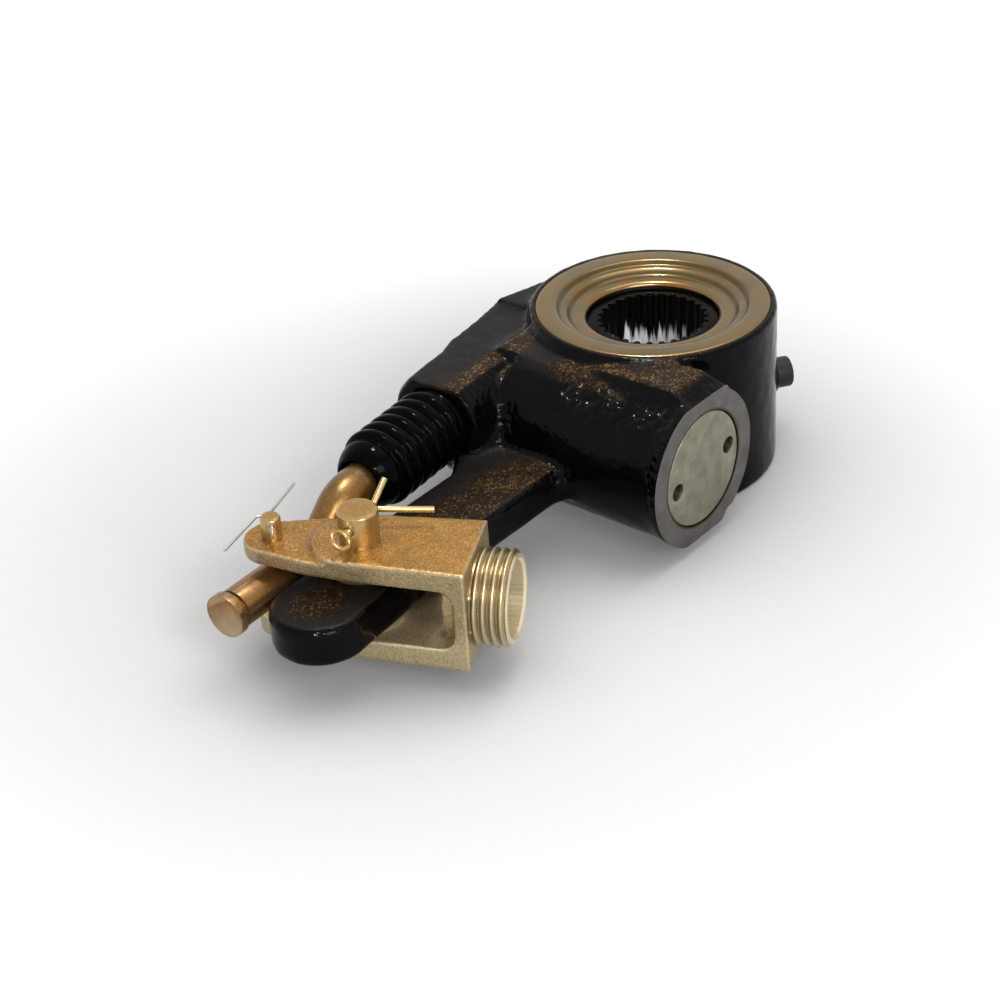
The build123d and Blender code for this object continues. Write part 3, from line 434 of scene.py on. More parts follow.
# Sintered bronze, bored and oiled: warm brown metal with a faint pitted grain.
BRONZE = plain_finish("sintered_bronze", ("#8a6430", "#a87c42", "#94703e"), (0.3, 0.45), 0.6, 0.3)
# Nitrile rubber, moulded: near black with a dull sheen.
NITRILE = plain_finish("moulded_nitrile", ("#0b0b0b", "#141414", "#101010"), (0.4, 0.55), 0.8, 0.2, 0.0)
# Carbon steel, hobbed or turned and oiled: dark grey metal with a wet gloss.
OILED = plain_finish("oiled_steel", ("#2b2a2a", "#403e3c", "#333130"), (0.22, 0.4), 0.5, 0.25)
# Spring and washer steel, ground bright: neutral grey metal with a soft sheen.
BRIGHT = plain_finish("ground_steel", ("#6f6f6d", "#868684", "#7a7a78"), (0.3, 0.42), 0.4, 0.2)


def repainted(material, *nodes):
    """Gives CAD nodes that keep their shape a better material."""
    for node in nodes:
        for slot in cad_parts[node].material_slots:
            slot.material = material


repainted(BRONZE, "wheel_bush_top", "wheel_bush_bottom", "worm_bush_inner", "worm_bush_cap_end")
repainted(NITRILE, "wheel_seal_top", "wheel_seal_bottom", "cap_gasket", "shaft_seal")
repainted(OILED, "worm_shaft", "cup_springs", "pinion", "rack", "arm_bush")
repainted(BRIGHT, "adjusting_hex", "hex_pin", "thrust_washer", "spring_seat", "wrap_spring",
          "rack_plug", "boot_ring")


# Rack return spring
# A coil of bright steel wire between the rack and the plug in the bore's blind end. On the real
# adjuster it shortens as the link pushes the rack in; here it keeps its length.
spring = as_mesh(from_cad("rack_spring"), "spring")
spring.materials.clear()
spring = piece("return_spring", spring, "adjuster_body", ["rack_spring"], [BRIGHT], 180)
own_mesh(spring)


# Worm wheel
# A hardened steel wheel with 28 broached splines. Its ends are black with heat treatment and oil. The
# lower part of each spline has a painted reflection: near white streaks.
def edged(node, width_mm, sides=2, angle=30):
    """Copy of a CAD node with its flat faces made whole and its sharp edges rounded."""
    bm = from_cad(node)
    bmesh.ops.dissolve_limit(bm, angle_limit=math.radians(0.6), use_dissolve_boundaries=False,
                             verts=bm.verts, edges=bm.edges)
    sharp = [e for e in bm.edges if e.is_manifold and e.calc_face_angle() > math.radians(angle)]
    bmesh.ops.bevel(bm, geom=sharp, offset=width_mm * MM, offset_type="OFFSET", affect="EDGES",
                    segments=sides, profile=0.5, material=-1, clamp_overlap=True)
    return bm


def broached_steel():
    """Hardened steel, broached: black and oily at the mouth, a painted reflection in pale streaks below."""
    material, tree, shader, where = new_material("broached_steel", 0, 1.25)
    across = add(tree, "Mapping", {}, {"Vector": where, "Scale": (1, 1, 0)})
    radius = add(tree, "VectorMath", {"operation": "LENGTH"}, {0: across}, "Value")
    inside = add(tree, "MapRange", {}, {
        "Value": radius, "From Min": 19.8 * MM, "From Max": 20.4 * MM, "To Min": 1, "To Max": 0})
    drawn = add(tree, "Mapping", {}, {"Vector": where, "Scale": (1, 1, 0.08)})
    streak = add(tree, "TexNoise", {}, {
        "Vector": drawn, "Scale": 1 / (2.2 * MM), "Detail": 3, "Roughness": 0.6})
    height = add(tree, "SeparateXYZ", {}, {0: where}, "Z")
    ragged = add(tree, "Math", {"operation": "MULTIPLY_ADD"}, {0: streak, 1: -24 * MM, 2: height})
    low = add(tree, "MapRange", {"interpolation_type": "SMOOTHSTEP"}, {
        "Value": ragged, "From Min": -6 * MM, "From Max": -1 * MM, "To Min": 1, "To Max": 0})
    # Painted reflection: low in the bore the splines are near white, in ragged streaks.
    painted_reflection = add(tree, "Math", {"operation": "MULTIPLY"}, {0: inside, 1: low})
    slow = add(tree, "TexNoise", {}, {"Vector": where, "Scale": 1 / (3 * MM), "Detail": 3})
    dark = add(tree, "ValToRGB", {"stops": [(0.3, "#030303"), (0.7, "#080706")]}, {"Fac": slow})
    reflection_white = add(tree, "ValToRGB", {"stops": [(0.35, "#f2f2f2"), (0.6, "#ffffff")]}, {"Fac": streak})
    colour = add(tree, "Mix", {"data_type": "RGBA"}, {"Factor": painted_reflection, 6: dark, 7: reflection_white}, 2)
    rough = add(tree, "MapRange", {}, {"Value": painted_reflection, "To Min": 0.25, "To Max": 0.5})
    # The ends lie upwards and are dull with oil.
    facing = add(tree, "TexCoord", {}, {}, "Normal")
    facing = add(tree, "SeparateXYZ", {}, {0: facing}, "Z")
    sheen = add(tree, "MapRange", {}, {
        "Value": facing, "From Min": 0.7, "From Max": 0.95, "To Min": 0.5, "To Max": 0.12})
    tree.links.new(sheen, shader.inputs["Specular IOR Level"])
    finish_shader(tree, shader, colour, rough, add(tree, "Bump", {}, {
        "Height": streak, "Strength": 0.3, "Distance": 0.1 * MM}))
    return material


piece("splined_wheel", as_mesh(edged("worm_wheel", 0.25, 1), "wheel"), "wheel",
      ["worm_wheel"], [broached_steel()])


# Cover plates
# Pressed steel rings with two dished steps and a rolled inner lip, plated with yellow zinc.
# They lie in the hub's recesses and hold the wheel's seals.
STEP_RADII = (32.7, 28.8)


def yellow_zinc_on_pressed_steel():
    """Yellow chromate over zinc: khaki gold with a satin sheen, fine rings from the press tool and
    an orange blush near the rims."""
    material, tree, shader, where = new_material("yellow_zinc_on_pressed_steel", 1.0)
    across = add(tree, "Mapping", {}, {"Vector": where, "Scale": (1, 1, 0)})
    radius = add(tree, "VectorMath", {"operation": "LENGTH"}, {0: across}, "Value")
    rings = add(tree, "TexNoise", {"noise_dimensions": "1D"}, {
        "W": radius, "Scale": 1 / (0.7 * MM), "Detail": 3})
    film = add(tree, "TexNoise", {}, {
        "Vector": where, "Scale": 1 / (16 * MM), "Detail": 3, "Roughness": 0.55})
    khaki = add(tree, "ValToRGB", {"stops": [
        (0.32, "#6f6045"), (0.5, "#796848"), (0.68, "#7f663d")]}, {"Fac": film})
    outer = add(tree, "MapRange", {}, {"Value": radius, "From Min": 39.2 * MM, "From Max": 40.9 * MM})
    inner = add(tree, "MapRange", {}, {
        "Value": radius, "From Min": 23.6 * MM, "From Max": 25.8 * MM, "To Min": 1, "To Max": 0})
    rim = add(tree, "Math", {"operation": "MAXIMUM"}, {0: outer, 1: inner})
    cloud = add(tree, "TexNoise", {}, {"Vector": where, "Scale": 1 / (13 * MM), "Detail": 3})
    blush = add(tree, "MapRange", {}, {"Value": cloud, "From Min": 0.42, "From Max": 0.6})
    blush = add(tree, "Math", {"operation": "MULTIPLY"}, {0: blush, 1: rim})
    colour = add(tree, "Mix", {"data_type": "RGBA"}, {"Factor": blush, 6: khaki, 7: "#8d6032"}, 2)
    # Dirt and shadow lie in the foot of each step.
    for step in STEP_RADII:
        off = add(tree, "Math", {"operation": "SUBTRACT"}, {0: radius, 1: step * MM})
        off = add(tree, "Math", {"operation": "ABSOLUTE"}, {0: off})
        shade = add(tree, "MapRange", {"interpolation_type": "SMOOTHSTEP"}, {
            "Value": off, "From Min": 0.3 * MM, "From Max": 1.1 * MM, "To Min": 0.6, "To Max": 0})
        colour = add(tree, "Mix", {"data_type": "RGBA"}, {"Factor": shade, 6: colour, 7: "#3f3320"}, 2)
    specks = add(tree, "TexNoise", {}, {
        "Vector": where, "Scale": 1 / (1.6 * MM), "Detail": 4, "Roughness": 0.7})
    grime = add(tree, "MapRange", {}, {"Value": specks, "From Min": 0.62, "From Max": 0.75, "To Max": 0.4})
    colour = add(tree, "Mix", {"data_type": "RGBA"}, {"Factor": grime, 6: colour, 7: "#4d3d27"}, 2)
    rough = add(tree, "MapRange", {}, {
        "Value": rings, "From Min": 0.3, "From Max": 0.7, "To Min": 0.2, "To Max": 0.3})
    ripple = add(tree, "Bump", {}, {"Height": rings, "Strength": 0.1, "Distance": 0.05 * MM})
    dents = add(tree, "TexNoise", {}, {"Vector": where, "Scale": 1 / (3 * MM), "Detail": 2})
    finish_shader(tree, shader, colour, rough, add(tree, "Bump", {}, {
        "Height": dents, "Strength": 0.1, "Distance": 0.15 * MM, "Normal": ripple}))
    return material


def subdivided(obj, levels):
    """Rounds a piece with a live subdivision modifier."""
    smooth = obj.modifiers.new("smooth", "SUBSURF")
    smooth.levels = levels
    smooth.render_levels = levels


COVER_ZINC = yellow_zinc_on_pressed_steel()
# Outline of the pressed sheet as radius and height: its outside, then its under side.
COVER_TOP = [(40.65, 28.3), (40.65, 29.5), (40.3, 29.8), (34.2, 29.8), (33.4, 29.7), (32.6, 28.4),
             (32.0, 27.9), (31.2, 28.0), (30.4, 27.9), (29.6, 27.2), (28.8, 26.2), (28.2, 25.8),
             (27.4, 25.8), (25.6, 25.9), (24.2, 25.7), (23.2, 25.1), (22.9, 24.2)]
COVER_UNDER = [(22.9, 23.7), (24.2, 23.8), (29.2, 24.3), (31.0, 25.6), (32.2, 26.2),
               (33.9, 28.1), (39.9, 28.25)]
for turn, side in ((0, "top"), (180, "bottom")):
    cover = spun(COVER_TOP + COVER_UNDER, Matrix.Rotation(math.radians(turn), 4, "X"), 96)
    ring = piece("cover_" + side, as_mesh(cover, "cover"), "adjuster_body",
                 ["cover_plate_" + side], [COVER_ZINC], 180)
    subdivided(ring, 1)


# Worm cap
# A turned plug with a chamfered rim and two spanner holes, screwed into the barrel. Its zinc
# has a clear chromate that has dulled to a pale green grey.
def clear_zinc_on_turned_steel():
    """Clear chromate over zinc: flat green grey with cloudy stains, brown specks in the pores and
    a brighter worn edge."""
    material, tree, shader, where = new_material("clear_zinc_on_turned_steel", 0.9)
    cloud = add(tree, "TexNoise", {}, {"Vector": where, "Scale": 1 / (6 * MM), "Detail": 4, "Roughness": 0.6})
    colour = add(tree, "ValToRGB", {"stops": [
        (0.3, "#737263"), (0.5, "#838170"), (0.7, "#93917f")]}, {"Fac": cloud})
    grain = add(tree, "TexNoise", {}, {
        "Vector": where, "Scale": 1 / (0.8 * MM), "Detail": 3, "Roughness": 0.7})
    pores = add(tree, "MapRange", {}, {"Value": grain, "From Min": 0.58, "From Max": 0.72, "To Max": 0.6})
    colour = add(tree, "Mix", {"data_type": "RGBA"}, {"Factor": pores, 6: colour, 7: "#4e4a3b"}, 2)
    # Painted shade: the spanner holes darken to brown with depth.
    depth = add(tree, "SeparateXYZ", {}, {0: where}, "Y")
    sunk = add(tree, "MapRange", {}, {
        "Value": depth, "From Min": 48.6 * MM, "From Max": 49.6 * MM, "To Min": 0.8, "To Max": 0})
    colour = add(tree, "Mix", {"data_type": "RGBA"}, {"Factor": sunk, 6: colour, 7: "#4a3418"}, 2)
    edge = add(tree, "NewGeometry", {}, {}, "Pointiness")
    worn = add(tree, "MapRange", {}, {"Value": edge, "From Min": 0.52, "From Max": 0.6})
    colour = add(tree, "Mix", {"data_type": "RGBA"}, {"Factor": worn, 6: colour, 7: "#cfccba"}, 2)
    rough = add(tree, "MapRange", {}, {
        "Value": cloud, "From Min": 0.3, "From Max": 0.7, "To Min": 0.36, "To Max": 0.5})
    finish_shader(tree, shader, colour, rough, add(tree, "Bump", {}, {
        "Height": grain, "Strength": 0.25, "Distance": 0.1 * MM}))
    return material


piece("cap", as_mesh(edged("worm_cap", 0.45), "cap"), "adjuster_body",
      ["worm_cap"], [clear_zinc_on_turned_steel()])


# Boot
# Moulded rubber bellows between the rack housing and the link, with six folds and a lip round the
# rod. Its collar is pressed into the housing's mouth by a wire ring.
def moulded_rubber():
    """Chloroprene, moulded: jet black and glossy, with flow marks and a little dust."""
    material, tree, shader, where = new_material("moulded_chloroprene", 0, 1.1)
    cloud = add(tree, "TexNoise", {}, {"Vector": where, "Scale": 1 / (5 * MM), "Detail": 4, "Roughness": 0.6})
    colour = add(tree, "ValToRGB", {"stops": [(0.35, "#020202"), (0.65, "#070707")]}, {"Fac": cloud})
    grain = add(tree, "TexNoise", {}, {
        "Vector": where, "Scale": 1 / (0.8 * MM), "Detail": 3, "Roughness": 0.75})
    dust = add(tree, "MapRange", {}, {"Value": grain, "From Min": 0.62, "From Max": 0.8, "To Max": 0.15})
    colour = add(tree, "Mix", {"data_type": "RGBA"}, {"Factor": dust, 6: colour, 7: "#4a4845"}, 2)
    rough = add(tree, "MapRange", {}, {
        "Value": cloud, "From Min": 0.3, "From Max": 0.7, "To Min": 0.06, "To Max": 0.16})
    flow = add(tree, "TexNoise", {}, {"Vector": where, "Scale": 1 / (3 * MM), "Detail": 3})
    ripple = add(tree, "Bump", {}, {"Height": flow, "Strength": 0.35, "Distance": 0.3 * MM})
    finish_shader(tree, shader, colour, rough, add(tree, "Bump", {}, {
        "Height": grain, "Strength": 0.12, "Distance": 0.1 * MM, "Normal": ripple}))
    return material


FOLDS = 6
FOLD_PITCH = 5.6
FOLD_START = 4.5
CREST_R = 13.45
VALLEY_R = 10.9
WALL = 1.2
BOOT_COLLAR_R = 12.3
LIP_R = 7.5
LIP_END = 43.4
outside = [(BOOT_COLLAR_R, -4.5), (BOOT_COLLAR_R, 0.8)]
for fold in range(FOLDS):
    middle = FOLD_START + fold * FOLD_PITCH
    outside += [(VALLEY_R, middle - 2.8), (CREST_R - 0.7, middle - 1.9), (CREST_R, middle - 0.9),
                (CREST_R, middle + 0.9), (CREST_R - 0.7, middle + 1.9)]
outside += [(VALLEY_R, 35.2), (VALLEY_R + 0.9, 36.4)]
dome = [(VALLEY_R + 0.8, 38), (VALLEY_R - 0.4, 41), (LIP_R + 1.4, 43), (LIP_R + 0.9, LIP_END)]
inside = [(r - WALL, s) for r, s in outside] + [(VALLEY_R - WALL, 39), (LIP_R, 42.5), (LIP_R, LIP_END)]
boot = spun(outside + dome + inside[::-1], RACK, 48)
boot = piece("boot_bellows", as_mesh(boot, "boot"), "adjuster_body", ["boot"],
             [moulded_rubber()], 180)
subdivided(boot, 2)
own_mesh(boot)


# Link
# A steel rod with two bends and a grooved head, turned and bent and then plated. Its yellow
# chromate is thick and has a copper tone.
def yellow_zinc(name, metallic, upper, side, rough, grain_mm, grain, dirt, edge_wear_and_highlight=0.8):
    """Yellow chromate over zinc: more orange on the upper faces that face upwards, khaki on the sides,
    and dirt stays in the low places of the grain."""
    material, tree, shader, where = new_material(name, metallic)
    film = add(tree, "TexNoise", {}, {"Vector": where, "Scale": 1 / (10 * MM), "Detail": 4, "Roughness": 0.6})
    khaki = add(tree, "ValToRGB", {"stops": list(zip((0.35, 0.65), side))}, {"Fac": film})
    orange = add(tree, "ValToRGB", {"stops": list(zip((0.35, 0.65), upper))}, {"Fac": film})
    facing = add(tree, "TexCoord", {}, {}, "Normal")
    facing = add(tree, "SeparateXYZ", {}, {0: facing}, "Z")
    level = add(tree, "MapRange", {"interpolation_type": "SMOOTHSTEP"}, {
        "Value": facing, "From Min": 0.35, "From Max": 0.9})
    height = add(tree, "SeparateXYZ", {}, {0: where}, "Z")
    upper_face = add(tree, "MapRange", {}, {"Value": height, "From Min": 3 * MM, "From Max": 7 * MM})
    # Painted light: low down the faces are made paler, most of all those facing upwards on the lower ear.
    lower_face = add(tree, "MapRange", {}, {"Value": height, "From Min": -5 * MM, "From Max": -12 * MM})
    floor = add(tree, "Math", {"operation": "MULTIPLY"}, {0: level, 1: lower_face})
    khaki = add(tree, "Mix", {"data_type": "RGBA"}, {"Factor": floor, 6: khaki, 7: "#e0c593"}, 2)
    painted_low_light = add(tree, "Math", {"operation": "MULTIPLY"}, {0: lower_face, 1: 0.4})
    khaki = add(tree, "Mix", {"data_type": "RGBA"}, {"Factor": painted_low_light, 6: khaki, 7: "#dccda6"}, 2)
    level = add(tree, "Math", {"operation": "MULTIPLY"}, {0: level, 1: upper_face})
    colour = add(tree, "Mix", {"data_type": "RGBA"}, {"Factor": level, 6: khaki, 7: orange}, 2)
    sand = add(tree, "TexNoise", {}, {
        "Vector": where, "Scale": 1 / (grain_mm * MM), "Detail": 3, "Roughness": 0.65})
    low = add(tree, "MapRange", {}, {
        "Value": sand, "From Min": 0.34, "From Max": 0.5, "To Min": dirt, "To Max": 0})
    colour = add(tree, "Mix", {"data_type": "RGBA"}, {"Factor": low, 6: colour, 7: "#4f3a1c"}, 2)
    high = add(tree, "MapRange", {}, {"Value": sand, "From Min": 0.54, "From Max": 0.7, "To Max": dirt})
    colour = add(tree, "Mix", {"data_type": "RGBA"}, {"Factor": high, 6: colour, 7: "#e3c58c"}, 2)
    # Edges are lightened, partly as wear and partly as a painted highlight along them.
    edge = add(tree, "NewGeometry", {}, {}, "Pointiness")
    worn = add(tree, "MapRange", {}, {"Value": edge, "From Min": 0.515, "From Max": 0.58, "To Max": edge_wear_and_highlight})
    colour = add(tree, "Mix", {"data_type": "RGBA"}, {"Factor": worn, 6: colour, 7: "#e2d6b4"}, 2)
    # Painted shade darkens the hollows and inner corners.
    valley = add(tree, "MapRange", {}, {
        "Value": edge, "From Min": 0.42, "From Max": 0.49, "To Min": 0.75, "To Max": 0})
    colour = add(tree, "Mix", {"data_type": "RGBA"}, {"Factor": valley, 6: colour, 7: "#5a3f1b"}, 2)
    gloss = add(tree, "MapRange", {}, {
        "Value": film, "From Min": 0.3, "From Max": 0.7, "To Min": rough[0], "To Max": rough[1]})
    lumps = add(tree, "TexNoise", {}, {"Vector": where, "Scale": 1 / (grain_mm * 5 * MM), "Detail": 3})
    broad = add(tree, "Bump", {}, {"Height": lumps, "Strength": grain * 0.6, "Distance": 0.3 * MM})
    finish_shader(tree, shader, colour, gloss, add(tree, "Bump", {}, {
        "Height": sand, "Strength": grain, "Distance": 0.12 * MM, "Normal": broad}))
    return material


# On a drawn rod: smooth, glossy and coppery.
LINK_ZINC = yellow_zinc("yellow_zinc_on_drawn_rod", 0.75, ("#6d5029", "#795b30"), ("#7a5224", "#875c29"),
                        (0.26, 0.36), 0.9, 0.2, 0.15, 0.25)
piece("bent_link", as_mesh(edged("link", 0.35, 3), "link"), "link_rod",
      ["link"], [LINK_ZINC])


# Clevis
# A forged and shot blasted steel fork with a threaded collar for the push rod, plated after its
# holes and its collar were machined.
CLEVIS_ANGLE = 116
PIN_SPACING = 28.2
COLLAR_Z = -3.6
BLOCK_END = 36.2
COLLAR_END = 48.1
COLLAR_R = 15.25
COLLAR_ROOT_R = 14.25
COLLAR_BORE_R = 11.85
RIDGES = 4
RIDGE_PITCH = 2.75
RIDGE_START = 0.6
UPPER_EAR = (7.2, 13.6)
LOWER_EAR = (-20.8, -14)
LINK_EAR_TOP = 11.8
PIN_HOLE_R = 6.45
LINK_HOLE_R = 3.275
CLEVIS = Matrix.Translation((ARM_LENGTH, 0, 0)) @ Matrix.Rotation(math.radians(CLEVIS_ANGLE), 4, "Z")
THREAD = CLEVIS @ Matrix.Translation((0, 0, COLLAR_Z)) @ Matrix.Rotation(math.radians(90), 4, "Y")
LINK_PIN = CLEVIS @ Matrix.Translation((-PIN_SPACING, 0, 0))
# On a blasted forging: grainy gold with a strong sparkle.
FORGED_ZINC = yellow_zinc("yellow_zinc_on_blasted_forging", 0.75, ("#8d662c", "#a07331"),
                          ("#998968", "#a18b63"), (0.36, 0.46), 0.65, 0.6, 0.45)
# On turned metal: smoother, khaki, with the tool's fine lines.
TURNED_ZINC = yellow_zinc("yellow_zinc_on_turned_steel", 0.8, ("#a08d68", "#a48e61"),
                          ("#9e9072", "#a4936d"), (0.26, 0.36), 0.6, 0.2, 0.25)
# In the collar's bore: duller, and made paler as painted light, for the light it reflects.
BORE_ZINC = yellow_zinc("yellow_zinc_in_bore", 0.5, ("#c4b696", "#c8b994"),
                          ("#cabd9d", "#d0c29e"), (0.3, 0.4), 0.6, 0.15, 0.15)

# The forging without its collar: cut off at the block's end, and solid where the holes will be.
fork = from_cad("clevis")
bmesh.ops.transform(fork, matrix=(Matrix.Scale(MM, 4) @ THREAD).inverted(), verts=fork.verts)
bmesh.ops.bisect_plane(fork, geom=fork.verts[:] + fork.edges[:] + fork.faces[:], dist=1e-5,
                       plane_co=(0, 0, BLOCK_END + 0.1), plane_no=(0, 0, 1), clear_outer=True)
bmesh.ops.holes_fill(fork, edges=[e for e in fork.edges if e.is_boundary], sides=0)
bmesh.ops.transform(fork, matrix=Matrix.Scale(MM, 4) @ THREAD, verts=fork.verts)
fork = joined(
    fork,
    cylinder(12.5, 27.5, BLOCK_END, THREAD),
    cylinder(7, *UPPER_EAR, CLEVIS),
    cylinder(7, *LOWER_EAR, CLEVIS),
    cylinder(3.8, UPPER_EAR[0], LINK_EAR_TOP, LINK_PIN),
    cylinder(3.8, *LOWER_EAR, LINK_PIN))
fork = with_modifiers(as_mesh(fork, "fork"),
                      ("REMESH", {"mode": "VOXEL", "voxel_size": 0.5 * MM, "adaptivity": 0}))
soften(fork, edges=5, corners=22, roughness_mm=0.07, lump_mm=3)
for material in (FORGED_ZINC, TURNED_ZINC, BORE_ZINC):
    fork.materials.append(material)

# The collar's thread is drawn as separate round ridges, because its slant hardly shows.
collar = [(10, BLOCK_END - 3), (14.3, BLOCK_END - 3), (14.3, BLOCK_END)]
for ridge in range(RIDGES):
    start = BLOCK_END + RIDGE_START + ridge * RIDGE_PITCH
    collar += [(COLLAR_ROOT_R, start), (COLLAR_R - 0.25, start + 0.75), (COLLAR_R, start + 1.05),
               (COLLAR_R, start + 1.35), (COLLAR_R - 0.25, start + 1.65), (COLLAR_ROOT_R, start + 2.3)]
collar += [(COLLAR_ROOT_R + 0.15, COLLAR_END - 0.5), (COLLAR_ROOT_R - 0.35, COLLAR_END), (10, COLLAR_END)]
fork = machined(fork, spun(collar, THREAD), operation="UNION")
reamer = spun([(0, 31), (COLLAR_BORE_R, 31), (COLLAR_BORE_R, COLLAR_END - 0.8),
               (COLLAR_BORE_R + 0.85, COLLAR_END + 0.05), (COLLAR_BORE_R + 0.85, 60), (0, 60)], THREAD)
for face in reamer.faces:
    face.material_index = 2
fork = machined(fork, reamer, cylinder(PIN_HOLE_R, -25, 18, CLEVIS), cylinder(LINK_HOLE_R, -25, 18, LINK_PIN))
piece("clevis_fork", fork, "clevis_set", ["clevis"], (), 40)


# Pins
# A half inch pin joins the clevis to the arm and a quarter inch pin joins it to the link. Both
# are turned, cross drilled for their cotters and plated.

# On turned bar: smooth and bright gold.
PIN_ZINC = yellow_zinc("yellow_zinc_on_bar", 0.85, ("#a67f44", "#ae8549"), ("#b59b6b", "#bf9f68"),
                       (0.2, 0.3), 1.2, 0.16, 0.15, 0.3)
HEAD_TOP = -21
COTTER_Z = 19.6
COTTER_ANGLE = 13
LINK_COTTER_Z = 17
LINK_COTTER_ANGLE = 50
# Radius, top, head radius, head height, and the cross hole's height, angle and radius.
for node, place, radius, top, head_radius, head, hole_z, hole_angle, hole_radius in (
        ("clevis_pin", ARM_PIN, 6.35, 24.7, 9, 4, COTTER_Z, COTTER_ANGLE, 1.7),
        ("link_pin", LINK_PIN, 3.175, 19.6, 5, 2.4, LINK_COTTER_Z, LINK_COTTER_ANGLE, 0.85)):
    place = Matrix.Translation(place.translation)
    head_end = HEAD_TOP - head
    pin = spun([(0, head_end), (head_radius - 0.6, head_end), (head_radius, head_end + 0.6),
                (head_radius, HEAD_TOP - 0.5), (head_radius - 0.5, HEAD_TOP), (radius, HEAD_TOP),
                (radius, top - 0.9), (radius - 0.15, top - 0.6), (radius - 0.8, top - 0.05),
                (radius - 1.1, top), (0, top)], place, 96)
    across = place @ Matrix.Translation((0, 0, hole_z)) \
        @ Matrix.Rotation(math.radians(hole_angle), 4, "Z") @ Matrix.Rotation(math.radians(90), 4, "Y")
    pin = as_mesh(pin, node)
    # One slot for the turned surface and one for the hole.
    pin.materials.append(PIN_ZINC)
    pin.materials.append(PIN_ZINC)
    pin = machined(pin, cylinder(hole_radius, -2 * radius, 2 * radius, across))
    piece(node + "_turned", pin, "clevis_set", [node], (), 20)


# Cotters
# Split pins of half round wire, folded double with an open eye; the legs are bent apart behind
# the pin. The large one is plated, the thin one is bare wire.
COTTER = Matrix.Translation((ARM_LENGTH, 0, COTTER_Z)) \
    @ Matrix.Rotation(math.radians(COTTER_ANGLE), 4, "Z")
EYE_FROM = 6.5
EYE_TURN = -42
cotter = edged("clevis_cotter", 0.1, 1, 50)
axis = Matrix.Scale(MM, 4) @ COTTER
eye = [v for v in cotter.verts if (axis.inverted() @ v.co).x > EYE_FROM]
bmesh.ops.rotate(cotter, verts=eye, cent=axis.translation,
                 matrix=Matrix.Rotation(math.radians(EYE_TURN), 3, COTTER.col[0].to_3d()))
piece("clevis_split_pin", as_mesh(cotter, "cotter"), "clevis_set",
      ["clevis_cotter"], [PIN_ZINC])
# Steel wire, drawn: pale silver with a soft sheen.
WIRE = plain_finish("drawn_wire", ("#a3a3a0", "#b4b4b1", "#acaca9"), (0.3, 0.42), 0.4, 0.2)
piece("link_split_pin", as_mesh(edged("link_cotter", 0.05, 1, 50), "cotter"), "clevis_set",
      ["link_cotter"], [WIRE])


# Grease plug
# A black polyamide plug pushed into the boss on the hub's far side, where a grease fitting would
# screw in.

# Polyamide, moulded: charcoal with a dull, slightly grained face.
NYLON = plain_finish("moulded_polyamide", ("#121212", "#1b1b1c", "#161617"), (0.4, 0.55), 0.9, 0.3, 0.0)
piece("grease_fitting_plug", as_mesh(edged("grease_plug", 0.8, 3), "plug"), "adjuster_body",
      ["grease_plug"], [NYLON])


# View
# The camera stands where the photograph was taken from, held a little askew. Its place and angles
# follow from the object's outline there.
VIEW_AZIMUTH = 41.024
VIEW_ELEVATION = 31.616
VIEW_TILT = -3.709
VIEW_AIM = (94.54, 6.82, 0)
VIEW_DISTANCE = 692.53
VIEW_LENS = 77.4
SENSOR = 36
camera = bpy.data.objects.new("camera", bpy.data.cameras.new("camera"))
bpy.context.scene.collection.objects.link(camera)
camera.matrix_world = Matrix.Translation(Vector(VIEW_AIM) * MM) \
    @ Matrix.Rotation(math.radians(90 + VIEW_AZIMUTH), 4, "Z") \
    @ Matrix.Rotation(math.radians(90 - VIEW_ELEVATION), 4, "X") \
    @ Matrix.Rotation(math.radians(VIEW_TILT), 4, "Z") \
    @ Matrix.Translation((0, 0, VIEW_DISTANCE * MM))
camera.data.lens = VIEW_LENS
camera.data.sensor_width = SENSOR
camera.data.clip_start = 0.01
bpy.context.scene.camera = camera
bpy.context.scene.view_settings.view_transform = "Standard"


# Floor and light
# A pale studio floor that fades to white, lit by a key and an overhead softbox. Two small lamps
# are seen only as glints. Lengths here are in metres.
MIDDLE = Vector((0.08, 0, 0))
FLOOR_SIZE = 3
SHADOW_REACH = 0.14
FADE_FROM = 0.13
FADE_TO = 0.33
SKY = 0.5


def seen_directly(tree):
    """1 for what the camera sees straight, in a mirror or through glass, and 0 for light."""
    seen = add(tree, "LightPath", {}, {}, "Is Camera Ray")
    for kind in ("Is Glossy Ray", "Is Transmission Ray"):
        ray = add(tree, "LightPath", {}, {}, kind)
        seen = add(tree, "Math", {"operation": "MAXIMUM"}, {0: seen, 1: ray})
    return seen


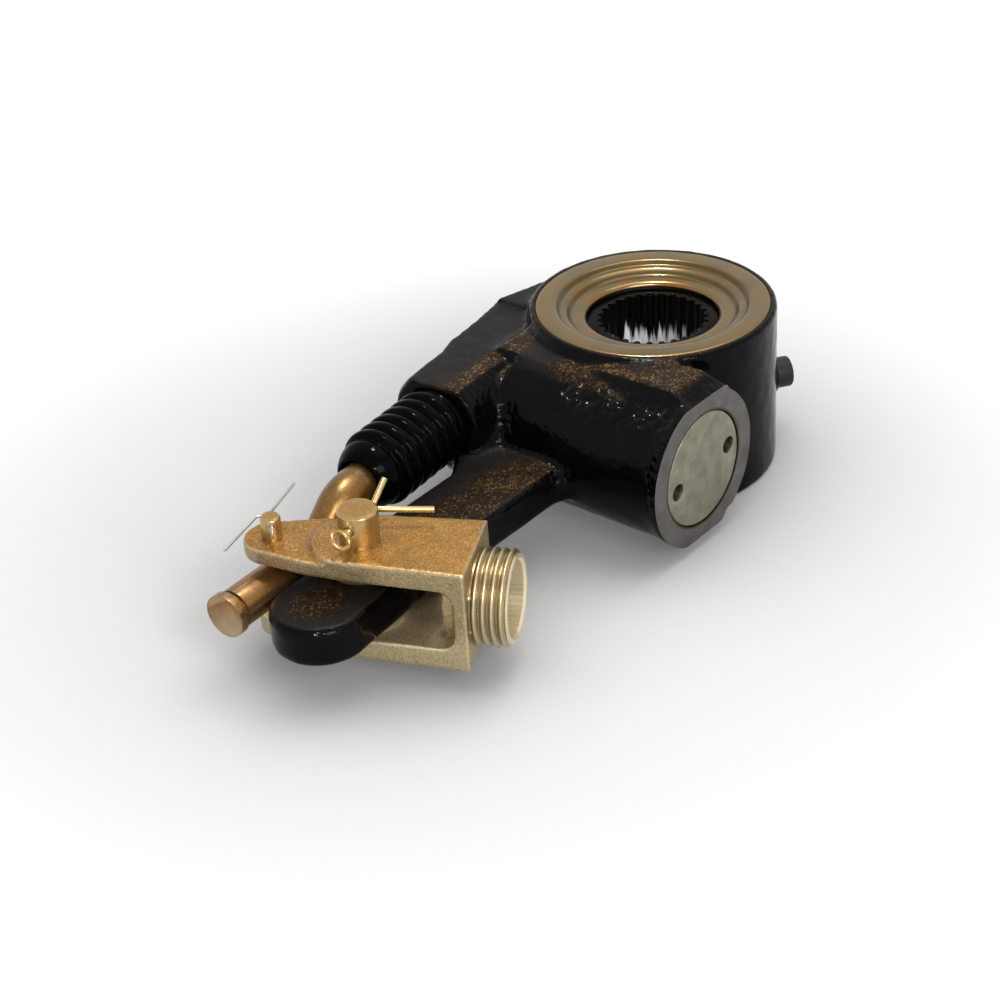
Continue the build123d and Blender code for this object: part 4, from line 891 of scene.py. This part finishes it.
def matt_paper():
    """Matt paper, pale and without a sheen. It is a little darker close to what stands on it, which
    widens the soft shadow, and it fades to white further out."""
    material, tree, shader, where = new_material("matt_paper", 0)
    open_sky = add(tree, "AmbientOcclusion", {"samples": 8}, {"Distance": SHADOW_REACH}, "AO")
    tone = add(tree, "ValToRGB", {"stops": [(0.3, "#8c8c8c"), (0.97, "#f0f0f0")]}, {"Fac": open_sky})
    tree.links.new(tone, shader.inputs["Base Color"])
    shader.inputs["Roughness"].default_value = 0.9
    shader.inputs["Specular IOR Level"].default_value = 0.0
    shader.inputs["Emission Color"].default_value = linear("#ffffff")
    away = add(tree, "VectorMath", {"operation": "DISTANCE"}, {0: where, 1: MIDDLE}, "Value")
    lift = add(tree, "MapRange", {"interpolation_type": "SMOOTHSTEP"}, {
        "Value": away, "From Min": FADE_FROM, "From Max": FADE_TO, "To Min": 0.12, "To Max": 0.5})
    lift = add(tree, "Math", {"operation": "MULTIPLY"}, {0: lift, 1: seen_directly(tree)})
    tree.links.new(lift, shader.inputs["Emission Strength"])
    return material


sheet = bmesh.new()
bmesh.ops.create_grid(sheet, x_segments=2, y_segments=2, size=FLOOR_SIZE)
bmesh.ops.translate(sheet, verts=sheet.verts, vec=(0, 0, cad_box[0].z))
floor = bpy.data.objects.new("floor", as_mesh(sheet, "floor"))
bpy.context.scene.collection.objects.link(floor)
floor.data.materials.append(matt_paper())

world = bpy.data.worlds.new("studio")
bpy.context.scene.world = world
world.use_nodes = True
background = world.node_tree.nodes["Background"]
background.inputs["Color"].default_value = linear("#ffffff")
strength = add(world.node_tree, "MapRange", {}, {
    "Value": seen_directly(world.node_tree), "To Min": SKY, "To Max": 1})
world.node_tree.links.new(strength, background.inputs["Strength"])


def softbox(name, direction, distance, width, height, power):
    """Rectangular lamp that looks at the object from a direction."""
    lamp = bpy.data.lights.new(name, "AREA")
    lamp.shape = "RECTANGLE"
    lamp.size = width
    lamp.size_y = height
    lamp.energy = power
    obj = bpy.data.objects.new(name, lamp)
    bpy.context.scene.collection.objects.link(obj)
    aim = Vector(direction).normalized()
    obj.matrix_world = Matrix.Translation(MIDDLE + aim * distance) \
        @ aim.to_track_quat("Z", "Y").to_matrix().to_4x4()
    return obj


softbox("key", (0.45, 0.95, 0.65), distance=1.1, width=0.5, height=0.4, power=6)
softbox("overhead", (-0.3, 0.1, 1.0), distance=1.0, width=0.7, height=0.7, power=2.4)
# Two small lamps that only give glints: on the rounded edges, on the cover plate and on the
# barrel's lumps.
for spark in (softbox("flash", (0.64, 0.56, 0.6), distance=0.9, width=0.05, height=0.05, power=2.4),
              softbox("high_spark", (-0.1, -0.09, 0.99), distance=0.9, width=0.07, height=0.07, power=6)):
    spark.visible_diffuse = False
